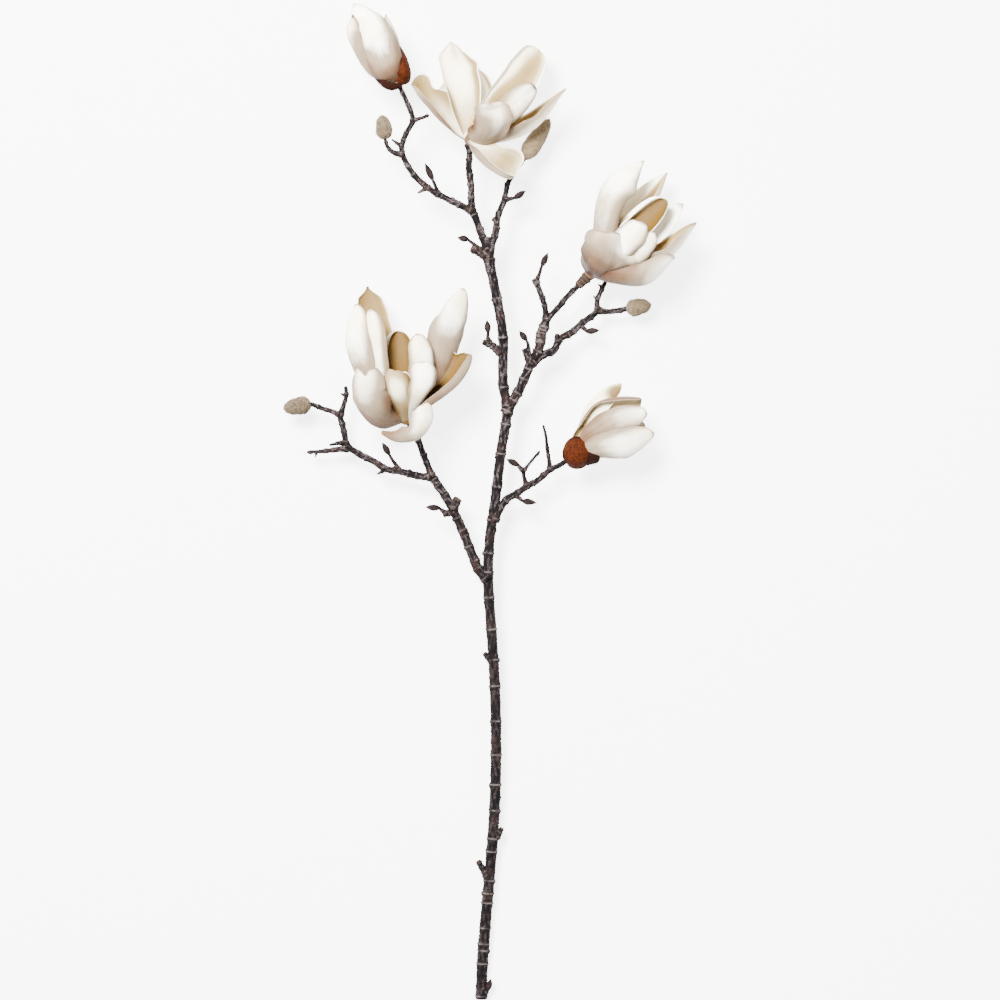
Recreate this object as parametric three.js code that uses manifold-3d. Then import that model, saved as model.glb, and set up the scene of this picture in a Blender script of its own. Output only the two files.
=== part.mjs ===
// A cut branch of white magnolia in flower, laid down on a table.
// Millimetres. +Z is up from the table, +Y runs from the cut end to the top of the branch.
// The origin is on the table, under the middle of the branch's outline.
import * as THREE from "three";
import { mergeVertices } from "three/addons/utils/BufferGeometryUtils.js";
import Module from "manifold-3d";

const wasm = await Module();
wasm.setup();

// Driving dimensions
const CENTRE = [0.5, -3.5]; // middle of the outline, from the point that the routes are measured from
const NODE_STEP = [16, 40]; // shortest and longest distance between two ring scars on the wood
const SCAR_HEIGHT = 0.9; // how far a ring scar stands out of the bark
const SCAR_HALF = 2.4; // half of the length over which it swells
const TEPAL_THICK = 1.7; // along the midrib
const MARGIN_THICK = 0.9; // at a tepal's edge
const SEAT_RADIUS = 7.5; // the receptacle, which carries the tepals
const SEAT_HEIGHT = 12;
const ROOT_RADIUS = 5; // of the ring in which the tepals' midribs start
const LEAF_BUD_RADIUS = 2.4;
const GAP = 0.4; // between pieces that touch
const STAMEN_RADIUS = 5;
const STAMENS = 12; // round the cone in the middle of an open bloom
const SPIKE = [[0, 0], [0.1, 0.9], [1, 0]];
const GOLDEN = 0.618034;

const MATERIALS = {
  bark: new THREE.MeshStandardMaterial({ color: 0x4a3a3a, roughness: 0.85, metalness: 0 }),
  tepal: new THREE.MeshStandardMaterial({ color: 0xf3e9db, roughness: 0.55, metalness: 0 }),
  bud_scale: new THREE.MeshStandardMaterial({ color: 0x9a4a1c, roughness: 0.9, metalness: 0 }),
  down: new THREE.MeshStandardMaterial({ color: 0xb9ad92, roughness: 1, metalness: 0 }),
  stamen: new THREE.MeshStandardMaterial({ color: 0xc9a45e, roughness: 0.7, metalness: 0 }),
};

const vec = (p) => new THREE.Vector3(...p);

// ---------------------------------------------------------------- solids

function solid(geometry) {
  const bare = new THREE.BufferGeometry();
  bare.setAttribute("position", geometry.getAttribute("position"));
  bare.setIndex(geometry.getIndex());
  const merged = mergeVertices(bare, 1e-4);
  return new wasm.Manifold(
    new wasm.Mesh({
      numProp: 3,
      vertProperties: merged.getAttribute("position").array,
      triVerts: new Uint32Array(merged.getIndex().array),
    }),
  );
}

const join = (solids) => solids.reduce((sum, next) => sum.add(next));

function mesh(name, body, material) {
  const { vertProperties, triVerts } = body.getMesh();
  const geometry = new THREE.BufferGeometry();
  geometry.setAttribute("position", new THREE.BufferAttribute(vertProperties, 3));
  geometry.setIndex(new THREE.BufferAttribute(triVerts, 1));
  geometry.computeVertexNormals();
  const made = new THREE.Mesh(geometry, material);
  made.name = name;
  return made;
}

// The body without the air that is shut in between its pieces.
const outerShell = (body) => body.decompose().reduce((a, b) => (a.volume() > b.volume() ? a : b));

// The table's top is z = 0: what would sink into it is worn flat there.
function restOnTable(body) {
  const under = new THREE.BoxGeometry(2000, 2000, 100).translate(0, 0, -50);
  return body.subtract(solid(under));
}

// A closed skin over rings of points that all have the same count, with a fan at each end.
function ringsToSolid(rings) {
  const sides = rings[0].length;
  const points = rings.flat();
  const faces = [];
  const first = points.length;
  points.push(middle(rings[0]), middle(rings[rings.length - 1]));
  for (let i = 0; i < rings.length - 1; i++)
    for (let j = 0; j < sides; j++) {
      const [a, b] = [i * sides + j, i * sides + ((j + 1) % sides)];
      faces.push(a, b, b + sides, a, b + sides, a + sides);
    }
  const last = (rings.length - 1) * sides;
  for (let j = 0; j < sides; j++) {
    const k = (j + 1) % sides;
    faces.push(first, k, j, first + 1, last + j, last + k);
  }
  const geometry = new THREE.BufferGeometry().setFromPoints(points);
  geometry.setIndex(faces);
  return solid(geometry);
}

function middle(ring) {
  return ring.reduce((sum, p) => sum.add(p), new THREE.Vector3()).divideScalar(ring.length);
}

// ---------------------------------------------------------------- wood

// Distances of the ring scars along a shoot, unevenly spaced.
function scarPlaces(length, start) {
  const places = [];
  let [at, k] = [start, 1];
  while (at < length - 6) {
    places.push(at);
    const share = (k * GOLDEN) % 1;
    at += NODE_STEP[0] + (NODE_STEP[1] - NODE_STEP[0]) * share;
    k += 1;
  }
  return places;
}

// A round shoot along a smooth route. radii are at its start and end; scars swell out of it.
function shoot({ route, radii, scars = true, sides = scars ? 5 : 4, step = 26, tip = 1 }) {
  const curve = new THREE.CatmullRomCurve3(route.map(vec), false, "centripetal");
  const length = curve.getLength();
  const places = scars ? scarPlaces(length, 9) : [];
  const stops = new Map([[0, 0], [length, 0]]);
  const count = Math.max(1, Math.round(length / step));
  for (let i = 1; i < count; i++) {
    const at = (length * i) / count;
    if (!places.some((p) => Math.abs(p - at) < 3 * SCAR_HALF)) stops.set(at, 0);
  }
  for (const p of places)
    for (const [shift, rise] of [[-SCAR_HALF, 0], [0, 1], [SCAR_HALF, 0]])
      stops.set(p + shift, rise * SCAR_HEIGHT * (0.5 + radii[0] / 11));
  const distances = [...stops.keys()].filter((d) => d >= 0 && d <= length).sort((a, b) => a - b);
  let across = new THREE.Vector3(0, 0, 1);
  const rings = distances.map((d) => {
    const share = d / length;
    const along = curve.getTangentAt(share);
    across = across.clone().addScaledVector(along, -across.dot(along)).normalize();
    const other = new THREE.Vector3().crossVectors(along, across);
    const end = d === length ? tip : 1;
    const radius = (radii[0] + (radii[1] - radii[0]) * share) * end + stops.get(d);
    return circle(curve.getPointAt(share), across, other, radius, sides);
  });
  return ringsToSolid(rings);
}

// A polygon with the same area as the round section.
function circle(centre, across, other, round, sides) {
  const radius = round * Math.sqrt((2 * Math.PI) / sides / Math.sin((2 * Math.PI) / sides));
  return Array.from({ length: sides }, (_, j) => {
    const a = ((j + 0.5) / sides) * 2 * Math.PI;
    return centre
      .clone()
      .addScaledVector(across, Math.cos(a) * radius)
      .addScaledVector(other, Math.sin(a) * radius);
  });
}

// A spindle turned round the line from foot to tip. profile lists [share of length, radius].
function spindle(foot, tip, profile, sides) {
  const along = vec(tip).sub(vec(foot));
  const length = along.length();
  const outline = profile.map(([share, radius]) => new THREE.Vector2(radius, share * length));
  const geometry = new THREE.LatheGeometry(outline, sides);
  const turn = new THREE.Quaternion().setFromUnitVectors(new THREE.Vector3(0, 1, 0), along.normalize());
  geometry.applyQuaternion(turn).translate(...foot);
  return solid(geometry);
}

const LEAF_BUD = [[0, 0], [0.02, 0.5], [0.4, 1], [0.75, 0.6], [1, 0]];

function leafBud({ twig, tip }) {
  const foot = vec(twig[twig.length - 1]);
  const along = vec(tip).sub(foot).normalize();
  const sunk = foot.addScaledVector(along, -1.5).toArray();
  return spindle(sunk, tip, LEAF_BUD.map(([s, r]) => [s, r * LEAF_BUD_RADIUS]), 5);
}

// Every shoot of the branch, from the stem out. Each starts inside the one that it grows from.
const SHOOTS = [
  // main stem, from the cut end to the fork under the top bloom
  {
    route: [
      [-8, -501, 5.2], [-7, -470, 7], [-3, -416, 10], [1, -370, 12], [5, -318, 15], [7, -253, 18],
      [6, -190, 21], [3, -138, 25], [-1, -73, 29], [1, -35, 31], [6, 0, 33], [12, 50, 36],
      [18, 92, 38], [14, 120, 40], [14, 165, 42], [8, 203, 43], [3, 228, 44], [-1, 253, 45],
    ],
    radii: [5.6, 4.5], sides: 6, step: 34,
  },
  // limb that carries the top bloom
  {
    route: [
      [-1, 250, 45], [-12, 280, 46], [-17, 295, 47], [-18, 316, 48], [-20, 334, 47], [-19.5, 346, 43],
      [-18, 360, 47],
    ],
    radii: [3.9, 3],
  },
  // crown, right: to the downy bud behind the top bloom
  {
    route: [
      [-1, 252, 45], [6, 266, 44], [9, 286, 42], [15, 301, 40], [19, 319, 36], [26, 332, 33],
      [34, 342, 31], [37, 347, 31],
    ],
    radii: [3.8, 1.9],
  },
  // crown, left: to the closed bud at the very top
  {
    route: [
      [-16, 290, 47], [-30, 297, 48], [-43, 303, 50], [-59, 312, 52], [-73, 324, 53], [-83, 339, 54],
      [-87, 352, 55], [-83, 366, 55], [-76, 381, 54], [-83, 401, 53], [-88.5, 413, 52.6], [-91, 420, 53],
    ],
    radii: [3.4, 2.2],
  },
  { route: [[-76, 380, 54], [-67, 383, 52], [-60, 386, 48]], radii: [2, 1.5], scars: false },
  {
    route: [
      [-85, 346, 55], [-95, 348, 57], [-101, 354, 57], [-103.3, 361, 56.5], [-103.7, 364, 56.6],
    ],
    radii: [2.8, 1.5], scars: false,
  },
  // left bough
  {
    route: [
      [-1, -78, 29], [-11, -67, 29], [-16, -55, 30], [-22, -40, 31], [-28, -25, 32], [-36, -8, 34],
      [-43, 5, 35], [-52, 18, 36], [-58, 27, 37],
    ],
    radii: [4.9, 4.1],
  },
  {
    route: [
      [-57, 25, 37], [-61, 36, 38], [-66, 48, 38], [-70, 60, 38], [-76, 72, 40], [-83, 84, 46],
    ],
    radii: [3.3, 2.9],
  },
  {
    route: [
      [-57, 25, 37], [-70, 26, 36], [-91, 31, 34], [-103, 33, 33], [-116, 41, 31], [-130, 48, 30],
      [-142, 57, 29], [-146, 73, 29], [-150, 88, 30],
    ],
    radii: [3.4, 2.5],
  },
  {
    route: [
      [-149, 87, 30], [-158, 91, 31], [-168, 94, 31], [-178, 98, 30], [-182, 98, 29.9],
    ],
    radii: [2, 1.7], scars: false,
  },
  {
    route: [
      [-149, 86, 30], [-146, 96, 32], [-144, 106, 34], [-142, 115, 35],
    ],
    radii: [2.1, 1.3], scars: false,
  },
  {
    route: [
      [-141, 54, 29], [-154, 52, 26], [-165, 51, 24], [-182, 50, 22],
    ],
    radii: [2.6, 1], scars: false,
  },
  // right bough
  {
    route: [
      [17, 88, 38], [24, 101, 39], [31, 114, 40], [36, 125, 41], [42, 139, 42], [50, 153, 43],
      [52, 166, 43], [58, 184, 43],
    ],
    radii: [4.8, 4],
  },
  {
    route: [
      [57, 182, 43], [68, 193, 43], [77, 204, 43], [86, 213, 42], [92, 219, 42.5], [102, 229, 46],
    ],
    radii: [2.8, 2.7],
  },
  { route: [[57, 181, 43], [56, 194, 46], [53, 204, 48], [50, 212, 50], [47, 221, 51]], radii: [3, 2.7] },
  {
    route: [
      [42, 138, 42], [56, 148, 39], [65, 152, 37], [68, 158, 36], [72, 164, 35], [83, 170, 33],
      [93, 179, 31], [105, 188, 29], [110, 193, 28],
    ],
    radii: [3.8, 2.5],
  },
  {
    route: [
      [109, 192, 28], [120, 191, 26], [137, 193.5, 24], [141, 194.3, 24.2],
    ],
    radii: [2.2, 2], scars: false,
  },
  { route: [[109, 191, 28], [109.5, 200, 25], [113, 209, 22]], radii: [2.1, 1.6], scars: false },
  // lower right bough
  {
    route: [
      [5, -19, 33], [9, -10, 34], [18, 3, 35], [27, 8, 36], [40, 17, 37], [48, 21, 38], [55, 27, 38],
      [62, 33, 38], [69, 36, 38], [78, 42, 38.5], [86, 50, 40],
    ],
    radii: [4, 2.3],
  },
  { route: [[38, 16, 37], [35, 25, 41], [34, 32, 43]], radii: [2.2, 1.8], scars: false },
  { route: [[34, 30, 43], [40, 38, 44], [51, 51, 46]], radii: [1.7, 1.2], scars: false },
  {
    route: [
      [61, 32, 38], [60, 42, 42], [58, 54, 45], [57, 65, 47], [54, 77, 48],
    ],
    radii: [2.3, 1.2], scars: false,
  },
];

// Short spurs, cut stubs and the swollen neck under the right bloom.
const STUBS = [
  { route: [[89, 216, 41.5], [95, 222, 43.2], [102, 229, 46]], radii: [3, 6] },
  { route: [[3, -160, 24], [-5, -152, 27]], radii: [3, 2.4] },
  { route: [[7, -338, 14], [13, -328, 16]], radii: [3.2, 2.4] },
  { route: [[0, -382, 12], [-5, -372, 14], [-11, -361, 16]], radii: [3.4, 2.6] },
  { route: [[12, 149, 41], [3, 156, 43], [-6, 160, 45]], radii: [3.6, 2.9] },
  { route: [[0, 247, 45], [-9, 247, 48], [-17, 249, 50]], radii: [3.6, 2.9] },
  { route: [[9, 279, 43], [4, 283, 46]], radii: [2.6, 2.2] },
  { route: [[-34, -9, 34], [-46, -13, 36]], radii: [3.2, 2.7] },
  { route: [[-37, -6, 34], [-31, 3, 38]], radii: [4.6, 4.2] },
  { route: [[42, 138, 42], [38, 147, 44], [35, 153, 45]], radii: [3.6, 3.1] },
  { route: [[69, 160, 36], [68, 168, 38]], radii: [2.8, 2.2] },
  { route: [[-142, 60.5, 29], [-160, 57, 32]], radii: [2.3, 0.9] },
  { route: [[-102, 33, 33], [-112, 28, 36]], radii: [2, 0.9] },
  { route: [[-86, 354, 55], [-97, 361, 58]], radii: [2, 0.9] },
  { route: [[-62, 313, 52], [-71, 308, 54]], radii: [2, 0.9] },
];

// Leaf buds on their thin twigs: the twig's route, then the bud's tip.
const LEAF_BUDS = [
  { twig: [[-4, -496, 7], [-1, -491, 9]], tip: [2, -480, 11] },
  { twig: [[2, 158, 43], [-1, 164, 46], [-1, 170, 47]], tip: [-2, 182, 48] },
  { twig: [[-7, 247, 47], [-14, 256, 50], [-20, 261, 52]], tip: [-32, 263, 54] },
  { twig: [[16, 302, 40], [26, 304, 43]], tip: [37, 311, 46] },
  { twig: [[-46, 304, 50], [-51, 310, 53], [-56, 321, 56]], tip: [-64, 338, 58] },
  { twig: [[-89, 31, 34], [-96, 41, 38], [-100, 48, 40]], tip: [-107, 60, 43] },
  { twig: [[-42, -12, 36], [-50, -6, 40]], tip: [-64, -5, 43] },
  { twig: [[40, 146, 44], [39, 157, 48], [37, 162, 49]], tip: [30, 171, 51] },
  { twig: [[47, 218, 51], [51, 230, 52], [53, 236, 52]], tip: [59, 249, 53] },
  { twig: [[92, 177, 31], [98, 171, 33]], tip: [111, 172, 35] },
  { twig: [[34, 31, 43], [29, 37, 45]], tip: [17, 43, 47] },
  { twig: [[26, 7, 36], [34, 1, 38]], tip: [48, -1, 39] },
];

// What a bloom or a downy bud needs, so that its twig ends just short of it.
const COLLAR = [[0, 0], [0, 1], [1, 1], [1, 0]];

function wood() {
  const shoots = SHOOTS.map(shoot);
  const stubs = STUBS.map((s) => shoot({ ...s, scars: false, step: 12, tip: 0.8 }));
  const twigs = LEAF_BUDS.map(({ twig }) =>
    shoot({ route: twig, radii: [1.6, 1.2], sides: 4, scars: false, step: 12 }),
  );
  const buds = LEAF_BUDS.map(leafBud);
  const collars = BLOOMS.map((b) => onAxis(b, -SEAT_HEIGHT / 2 - GAP, 20, COLLAR, SEAT_RADIUS + 1, 10));
  const downy = Object.values(DOWNY_BUDS).map((b) => downyBud(b, GAP));
  const grown = join([...shoots, ...stubs, ...twigs, ...buds]);
  return restOnTable(grown.subtract(join([...collars, ...downy])));
}

// ---------------------------------------------------------------- blooms

// Width of a tepal at a share of its length, as a share of its greatest width: a narrow claw,
// the widest place at `wide`, and a tip that is round or, with a larger `point`, drawn out.
function outline(share, { claw = 0.2, wide = 0.6, point = 0.6 }) {
  if (share < wide) return claw + (1 - claw) * Math.sin((Math.PI / 2) * (share / wide));
  const past = (share - wide) / (1 - wide);
  return Math.max(0.06, (1 - past ** 2.3) ** point);
}

// A tepal's inner face as a function of u, along it, and v, from -1 to 1 across it.
// `rib` is the route of its midrib from the seat, `face` is where the middle of the inner
// face looks, `cup` bends it into a trough, `roll` turns its edges back, `wave` ripples them.
function tepalSurface(bloom, tepal) {
  const { rib, face, width, cup = 50, twist = 0, roll = 0, wave = 0 } = tepal;
  const foot = tepal.foot ?? rootOf(bloom, rib[0]);
  const route = [foot, ...rib].map((p) => vec(p).add(vec(bloom.seat)));
  const curve = new THREE.CatmullRomCurve3(route, false, "centripetal");
  const bend = THREE.MathUtils.degToRad(cup);
  return (u, v) => {
    const t = Math.min(1, Math.max(0, u));
    const along = curve.getTangent(t);
    const inward = vec(face);
    inward.addScaledVector(along, -inward.dot(along)).normalize();
    inward.applyAxisAngle(along, THREE.MathUtils.degToRad(twist * (t - 0.5)));
    const across = new THREE.Vector3().crossVectors(along, inward);
    const half = (width / 2) * outline(t, tepal);
    const edge = Math.max(0, Math.abs(v) - 0.5) * Math.sin(Math.PI * t);
    const depth =
      (half / bend) * (1 - Math.cos(v * bend)) -
      roll * half * edge * edge +
      wave * edge * Math.sin(10 * t + 2 * Math.sign(v));
    return curve
      .getPoint(t)
      .addScaledVector(across, (half / bend) * Math.sin(v * bend))
      .addScaledVector(inward, depth);
  };
}

// A tepal's root, inside the drum and on the side that the tepal leans to.
function rootOf({ axis }, toward) {
  const along = vec(axis).normalize();
  const aside = vec(toward);
  return aside.addScaledVector(along, -aside.dot(along)).setLength(ROOT_RADIUS).toArray();
}

// A closed blade on a surface, thick along the middle and thin at the edge. Both of its faces
// are split into triangles alike, and its rows lie closer together toward the tip. `room` grows
// it on every side, to cut its place out of what it lies on.
function blade(surface, rows, columns, thick = TEPAL_THICK, margin = MARGIN_THICK, room = 0) {
  const row = (i) => 1 - (1 - i / rows) ** 1.35;
  const column = (j) => (2 * j) / columns - 1;
  const end = (i, last) => (i === last) - (i === 0);
  const directions = (u, v) => {
    const [at, e] = [Math.min(0.97, Math.max(0.03, u)), 0.02];
    const along = surface(at + e, v).sub(surface(at - e, v)).normalize();
    const across = surface(at, v + e).sub(surface(at, v - e)).normalize();
    return [along, across, along.clone().cross(across).normalize()];
  };
  const [front, rear] = [[], []];
  for (let i = 0; i <= rows; i++)
    for (let j = 0; j <= columns; j++) {
      const [u, v] = [row(i), column(j)];
      const wall = margin + (thick - margin) * (1 - v * v);
      const [along, across, out] = directions(u, v);
      const point = surface(u, v)
        .addScaledVector(along, room * end(i, rows))
        .addScaledVector(across, room * end(j, columns));
      front.push(point.clone().addScaledVector(out, -room));
      rear.push(point.clone().addScaledVector(out, wall + room));
    }
  const id = (i, j) => i * (columns + 1) + j;
  const back = front.length;
  const faces = [];
  for (let i = 0; i < rows; i++)
    for (let j = 0; j < columns; j++) {
      const [a, b, c, d] = [id(i, j), id(i + 1, j), id(i + 1, j + 1), id(i, j + 1)];
      faces.push(a, c, b, a, d, c);
      faces.push(a + back, b + back, c + back, a + back, c + back, d + back);
    }
  const border = [];
  for (let j = 0; j < columns; j++) border.push(id(0, j));
  for (let i = 0; i < rows; i++) border.push(id(i, columns));
  for (let j = columns; j > 0; j--) border.push(id(rows, j));
  for (let i = rows; i > 0; i--) border.push(id(i, 0));
  border.forEach((a, k) => {
    const b = border[(k + 1) % border.length];
    faces.push(a, b + back, b, a, a + back, b + back);
  });
  const geometry = new THREE.BufferGeometry().setFromPoints([...front, ...rear]);
  geometry.setIndex(faces);
  return solid(geometry);
}

// A short drum that carries the tepals, and the round room over it for the stamens.
const DRUM = [[0, 0], [0, 0.7], [0.35, 1], [0.7, 0.9], [1, 0.4], [1, 0]];
const ROOM = [[0, 0], [0, 1], [0.75, 1], [1, 0.5], [1, 0]];

function onAxis({ seat, axis }, from, to, profile, radius, sides) {
  const along = vec(axis).normalize();
  const [foot, tip] = [from, to].map((d) => along.clone().multiplyScalar(d).add(vec(seat)).toArray());
  return spindle(foot, tip, profile.map(([s, r]) => [s, r * radius]), sides);
}

function tepals(bloom) {
  const drum = onAxis(bloom, -SEAT_HEIGHT / 2, SEAT_HEIGHT / 2, DRUM, SEAT_RADIUS, 8);
  const blades = bloom.tepals.map((t) =>
    blade(tepalSurface(bloom, t), t.width < 34 ? 4 : 5, t.width > 52 ? 6 : 4),
  );
  const room = bloom.scales
    ? join(bloom.scales.map((s) => scale(bloom, s, GAP)))
    : onAxis(bloom, SEAT_HEIGHT / 2, 30, ROOM, STAMEN_RADIUS + GAP, 8);
  return restOnTable(outerShell(join([drum, ...blades]).subtract(room)));
}

const scale = (bud, shape, room = 0) => blade(tepalSurface(bud, shape), 5, 4, 1.5, 0.9, room);

// A bud's scales. Each is cut clear of those before it.
function scales(bud) {
  return bud.scales.map((shape, i) => {
    const before = bud.scales.slice(0, i).map((s) => scale(bud, s, GAP));
    return outerShell(scale(bud, shape).subtract(join([wasm.Manifold.union([]), ...before])));
  });
}

function stamens(bloom) {
  const along = vec(bloom.axis).normalize();
  const [right, ahead] = [new THREE.Vector3(0, 0, 1).cross(along).normalize(), new THREE.Vector3()];
  ahead.crossVectors(along, right);
  const at = (turn, out, up) =>
    vec(bloom.seat)
      .addScaledVector(right, Math.cos(turn) * out)
      .addScaledVector(ahead, Math.sin(turn) * out)
      .addScaledVector(along, up);
  const spikes = Array.from({ length: STAMENS }, (_, k) => {
    const turn = k * GOLDEN * 2 * Math.PI;
    const up = 8 + (14 * k) / STAMENS;
    return spindle(at(turn, 0.5, up).toArray(), at(turn, 4.4, up + 4).toArray(), SPIKE, 3);
  });
  const cone = onAxis(bloom, SEAT_HEIGHT / 2 + GAP, 27, [[0, 0], [0, 0.9], [0.3, 1], [1, 0]], 2.6, 6);
  return join([cone, ...spikes]);
}

// `seat` is where a bloom's tepals meet. The points of a midrib are measured from it: right,
// up the branch and up from the table.
const TOP_BLOOM = {
  seat: [-18, 362, 48],
  axis: [0.1, 0.88, 0.45],
  tepals: [
    { rib: [[-24, 11, 4], [-44, 28, 8], [-58, 59, 14]],
      face: [0.5, 0.45, 0.75], width: 46, cup: 75, point: 0.5 }, // left
    { rib: [[-6, 38, 4], [-13, 69, -2], [-20, 98, -10]],
      face: [0.05, -0.25, 1], width: 43, cup: 35, point: 0.9, wide: 0.55 }, // back left
    { rib: [[6, 28, -10], [8, 52, -26], [9, 74, -38]], face: [0, -0.3, 1], width: 36, cup: 40 }, // back
    { rib: [[24, 36, 4], [44, 62, -6], [70, 92, -16]],
      face: [-0.25, -0.2, 1], width: 44, cup: 42, wide: 0.68, point: 0.5 }, // back right
    { rib: [[26, 15, 16], [46, 31, 30], [65, 51, 40]],
      face: [-0.3, 0.4, -0.9], width: 42, cup: 45 }, // inner right
    { rib: [[32, 1, 4], [64, 16, 8], [94, 49, 12]],
      face: [-0.45, 0.75, 0.2], width: 44, cup: 85, point: 0.9 }, // right
    { rib: [[13, 0, 28], [21, 16, 46], [19, 34, 50]],
      face: [0, 0.35, -1], width: 48, cup: 56, claw: 0.7, wide: 0.7, point: 0.35 }, // front
    { rib: [[13, -13, 16], [26, -28, 20], [43, -38, 12]],
      face: [0.3, 0.35, 0.9], width: 46, cup: 55 }, // bottom
    { rib: [[-10, 20, -26], [-16, 42, -43], [-20, 66, -46.6]],
      face: [0.1, 0.2, 1], width: 40, cup: 45 }, // under
  ],
};

const LEFT_BLOOM = {
  seat: [-83, 84, 46],
  axis: [-0.1, 0.86, 0.5],
  tepals: [
    { rib: [[-15, 40, -10], [-30, 85, -16], [-39, 131, -20]],
      face: [0.15, -0.3, 1], width: 42, cup: 45, point: 1 }, // back left, tall
    { rib: [[-38, 36, 20], [-53, 76, 30], [-49, 113, 26]],
      face: [0.7, -0.1, -0.7], width: 42, cup: 60 }, // left
    { rib: [[-24, 33, 24], [-31, 73, 34], [-34, 105, 32]],
      face: [0.5, 0, -0.85], width: 25, cup: 60, point: 0.45 }, // left inner
    { rib: [[-6, 33, 5], [-9, 61, 6], [-7, 86, 4]],
      face: [0, -0.1, 1], width: 35, cup: 50, point: 0.45 }, // middle
    { rib: [[13, 33, 20], [17, 58, 34], [12, 82, 38]],
      face: [-0.2, 0, -1], width: 27, cup: 50, point: 0.5 }, // middle right
    { rib: [[28, 36, 10], [41, 81, 20], [56, 128, 22]],
      face: [-0.35, 0, -0.93], width: 40, cup: 45, point: 0.8 }, // right, tall
    { rib: [[22, 11, 14], [49, 29, 18], [67, 62, 16]],
      face: [-0.66, 0.6, 0.4], width: 54, cup: 80, wide: 0.68, point: 0.5 }, // right
    { rib: [[11, 20, 34], [19, 36, 46], [18, 52, 48]],
      face: [0, 0.1, -1], width: 30, cup: 50, claw: 0.6, point: 0.4 }, // front right
    { rib: [[-18, 0, 26], [-34, 18, 44], [-31, 44, 46]],
      face: [0.2, 0.2, -1], width: 46, cup: 58, claw: 0.6, wide: 0.7, point: 0.3, wave: 3 }, // front left
    { rib: [[-4, 14, 24], [-6, 26, 34], [-9, 43, 40]],
      face: [0, 0.2, -1], width: 33, cup: 45, claw: 0.6, point: 0.5 }, // front inner
    { rib: [[4, -14, 8], [8, -20, 24], [4, -8, 38]],
      face: [-0.43, 0.85, 0.25], width: 58, cup: 42, wide: 0.75, point: 0.35 }, // bottom
    { rib: [[0, 20, -24], [-4, 44, -41], [-6, 68, -44.6]],
      face: [0, 0.2, 1], width: 44, cup: 45 }, // under
  ],
};

const RIGHT_BLOOM = {
  seat: [102, 229, 46],
  axis: [0.64, 0.66, 0.4],
  tepals: [
    { rib: [[7, 38, 16], [15, 77, 24], [52, 108, 16]],
      face: [0.5, -0.5, -0.7], width: 50, cup: 48, claw: 0.55 }, // left, tall
    { rib: [[24, 30, -6], [49, 60, -12], [76, 101, -16]],
      face: [-0.45, 0.1, 0.9], width: 44, cup: 65, point: 1 }, // back
    { rib: [[23, 25, 8], [46, 47, 10], [72, 71, 12]],
      face: [-0.3, -0.3, 0.9], width: 32, cup: 60 }, // middle
    { rib: [[28, 21, 0], [60, 42, -4], [92, 68, -6]],
      face: [-0.3, -0.2, 0.93], width: 42, cup: 50, point: 0.8 }, // right back
    { rib: [[32, 7, 8], [76, 14, 10], [104, 49, 12]],
      face: [-0.5, 0.7, 0.25], width: 50, cup: 78, wide: 0.64, point: 0.8 }, // right
    { rib: [[-1, 1, 28], [12, 17, 50], [26, 39, 54]],
      face: [0.3, 0.2, -1], width: 61, cup: 62, claw: 0.75, wide: 0.68, point: 0.32 }, // front
    { rib: [[13, 14, 34], [32, 35, 50], [51, 53, 56]],
      face: [0.1, 0.1, -1], width: 32, cup: 50 }, // front middle
    { rib: [[20, 10, 26], [40, 24, 40], [59, 38, 44]],
      face: [0, 0.2, -1], width: 27, cup: 50 }, // inner right
    { rib: [[22, -10, 12], [56, -13, 20], [82, 13, 24]],
      face: [-0.15, 0.85, 0.4], width: 58, cup: 70, claw: 0.5, wide: 0.68, point: 0.4 }, // bottom
    { rib: [[16, 14, -24], [36, 36, -41], [58, 54, -44.6]],
      face: [0, 0, 1], width: 46, cup: 50 }, // under
  ],
};

const TOP_BUD = {
  seat: [-91, 420, 53],
  axis: [-0.48, 0.87, 0.05],
  tepals: [
    { rib: [[-11, 8, 20], [-22, 36, 24], [-41, 71, 8]],
      face: [0.1, 0, -1], width: 50, cup: 75, claw: 0.7 }, // front
    { rib: [[3, 16, 2], [-2, 42, 2], [-13, 62, 0]], face: [-0.9, -0.4, 0], width: 36, cup: 70 }, // right
    { rib: [[-26, 6, 2], [-44, 34, 4], [-49, 60, 6]],
      face: [0.87, 0.49, 0], width: 42, cup: 70, claw: 0.5 }, // left
    { rib: [[-10, 12, -18], [-20, 42, -20], [-34, 69, -8]],
      face: [0, 0, 1], width: 48, cup: 75, claw: 0.5 }, // under
  ],
  scales: [
    { foot: [2, -3, 6], rib: [[9, 4, 10], [7, 19, 9], [0, 36, 4]],
      face: [-0.75, -0.3, -0.65], width: 23, cup: 60, claw: 0.5, wide: 0.45, point: 0.9 },
    { foot: [-2, -6, 5], rib: [[-7, -8, 7], [-14, -5, 7], [-22, 3, 4]],
      face: [0.5, 0.85, -0.35], width: 22, cup: 55, claw: 0.5 },
  ],
};

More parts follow.
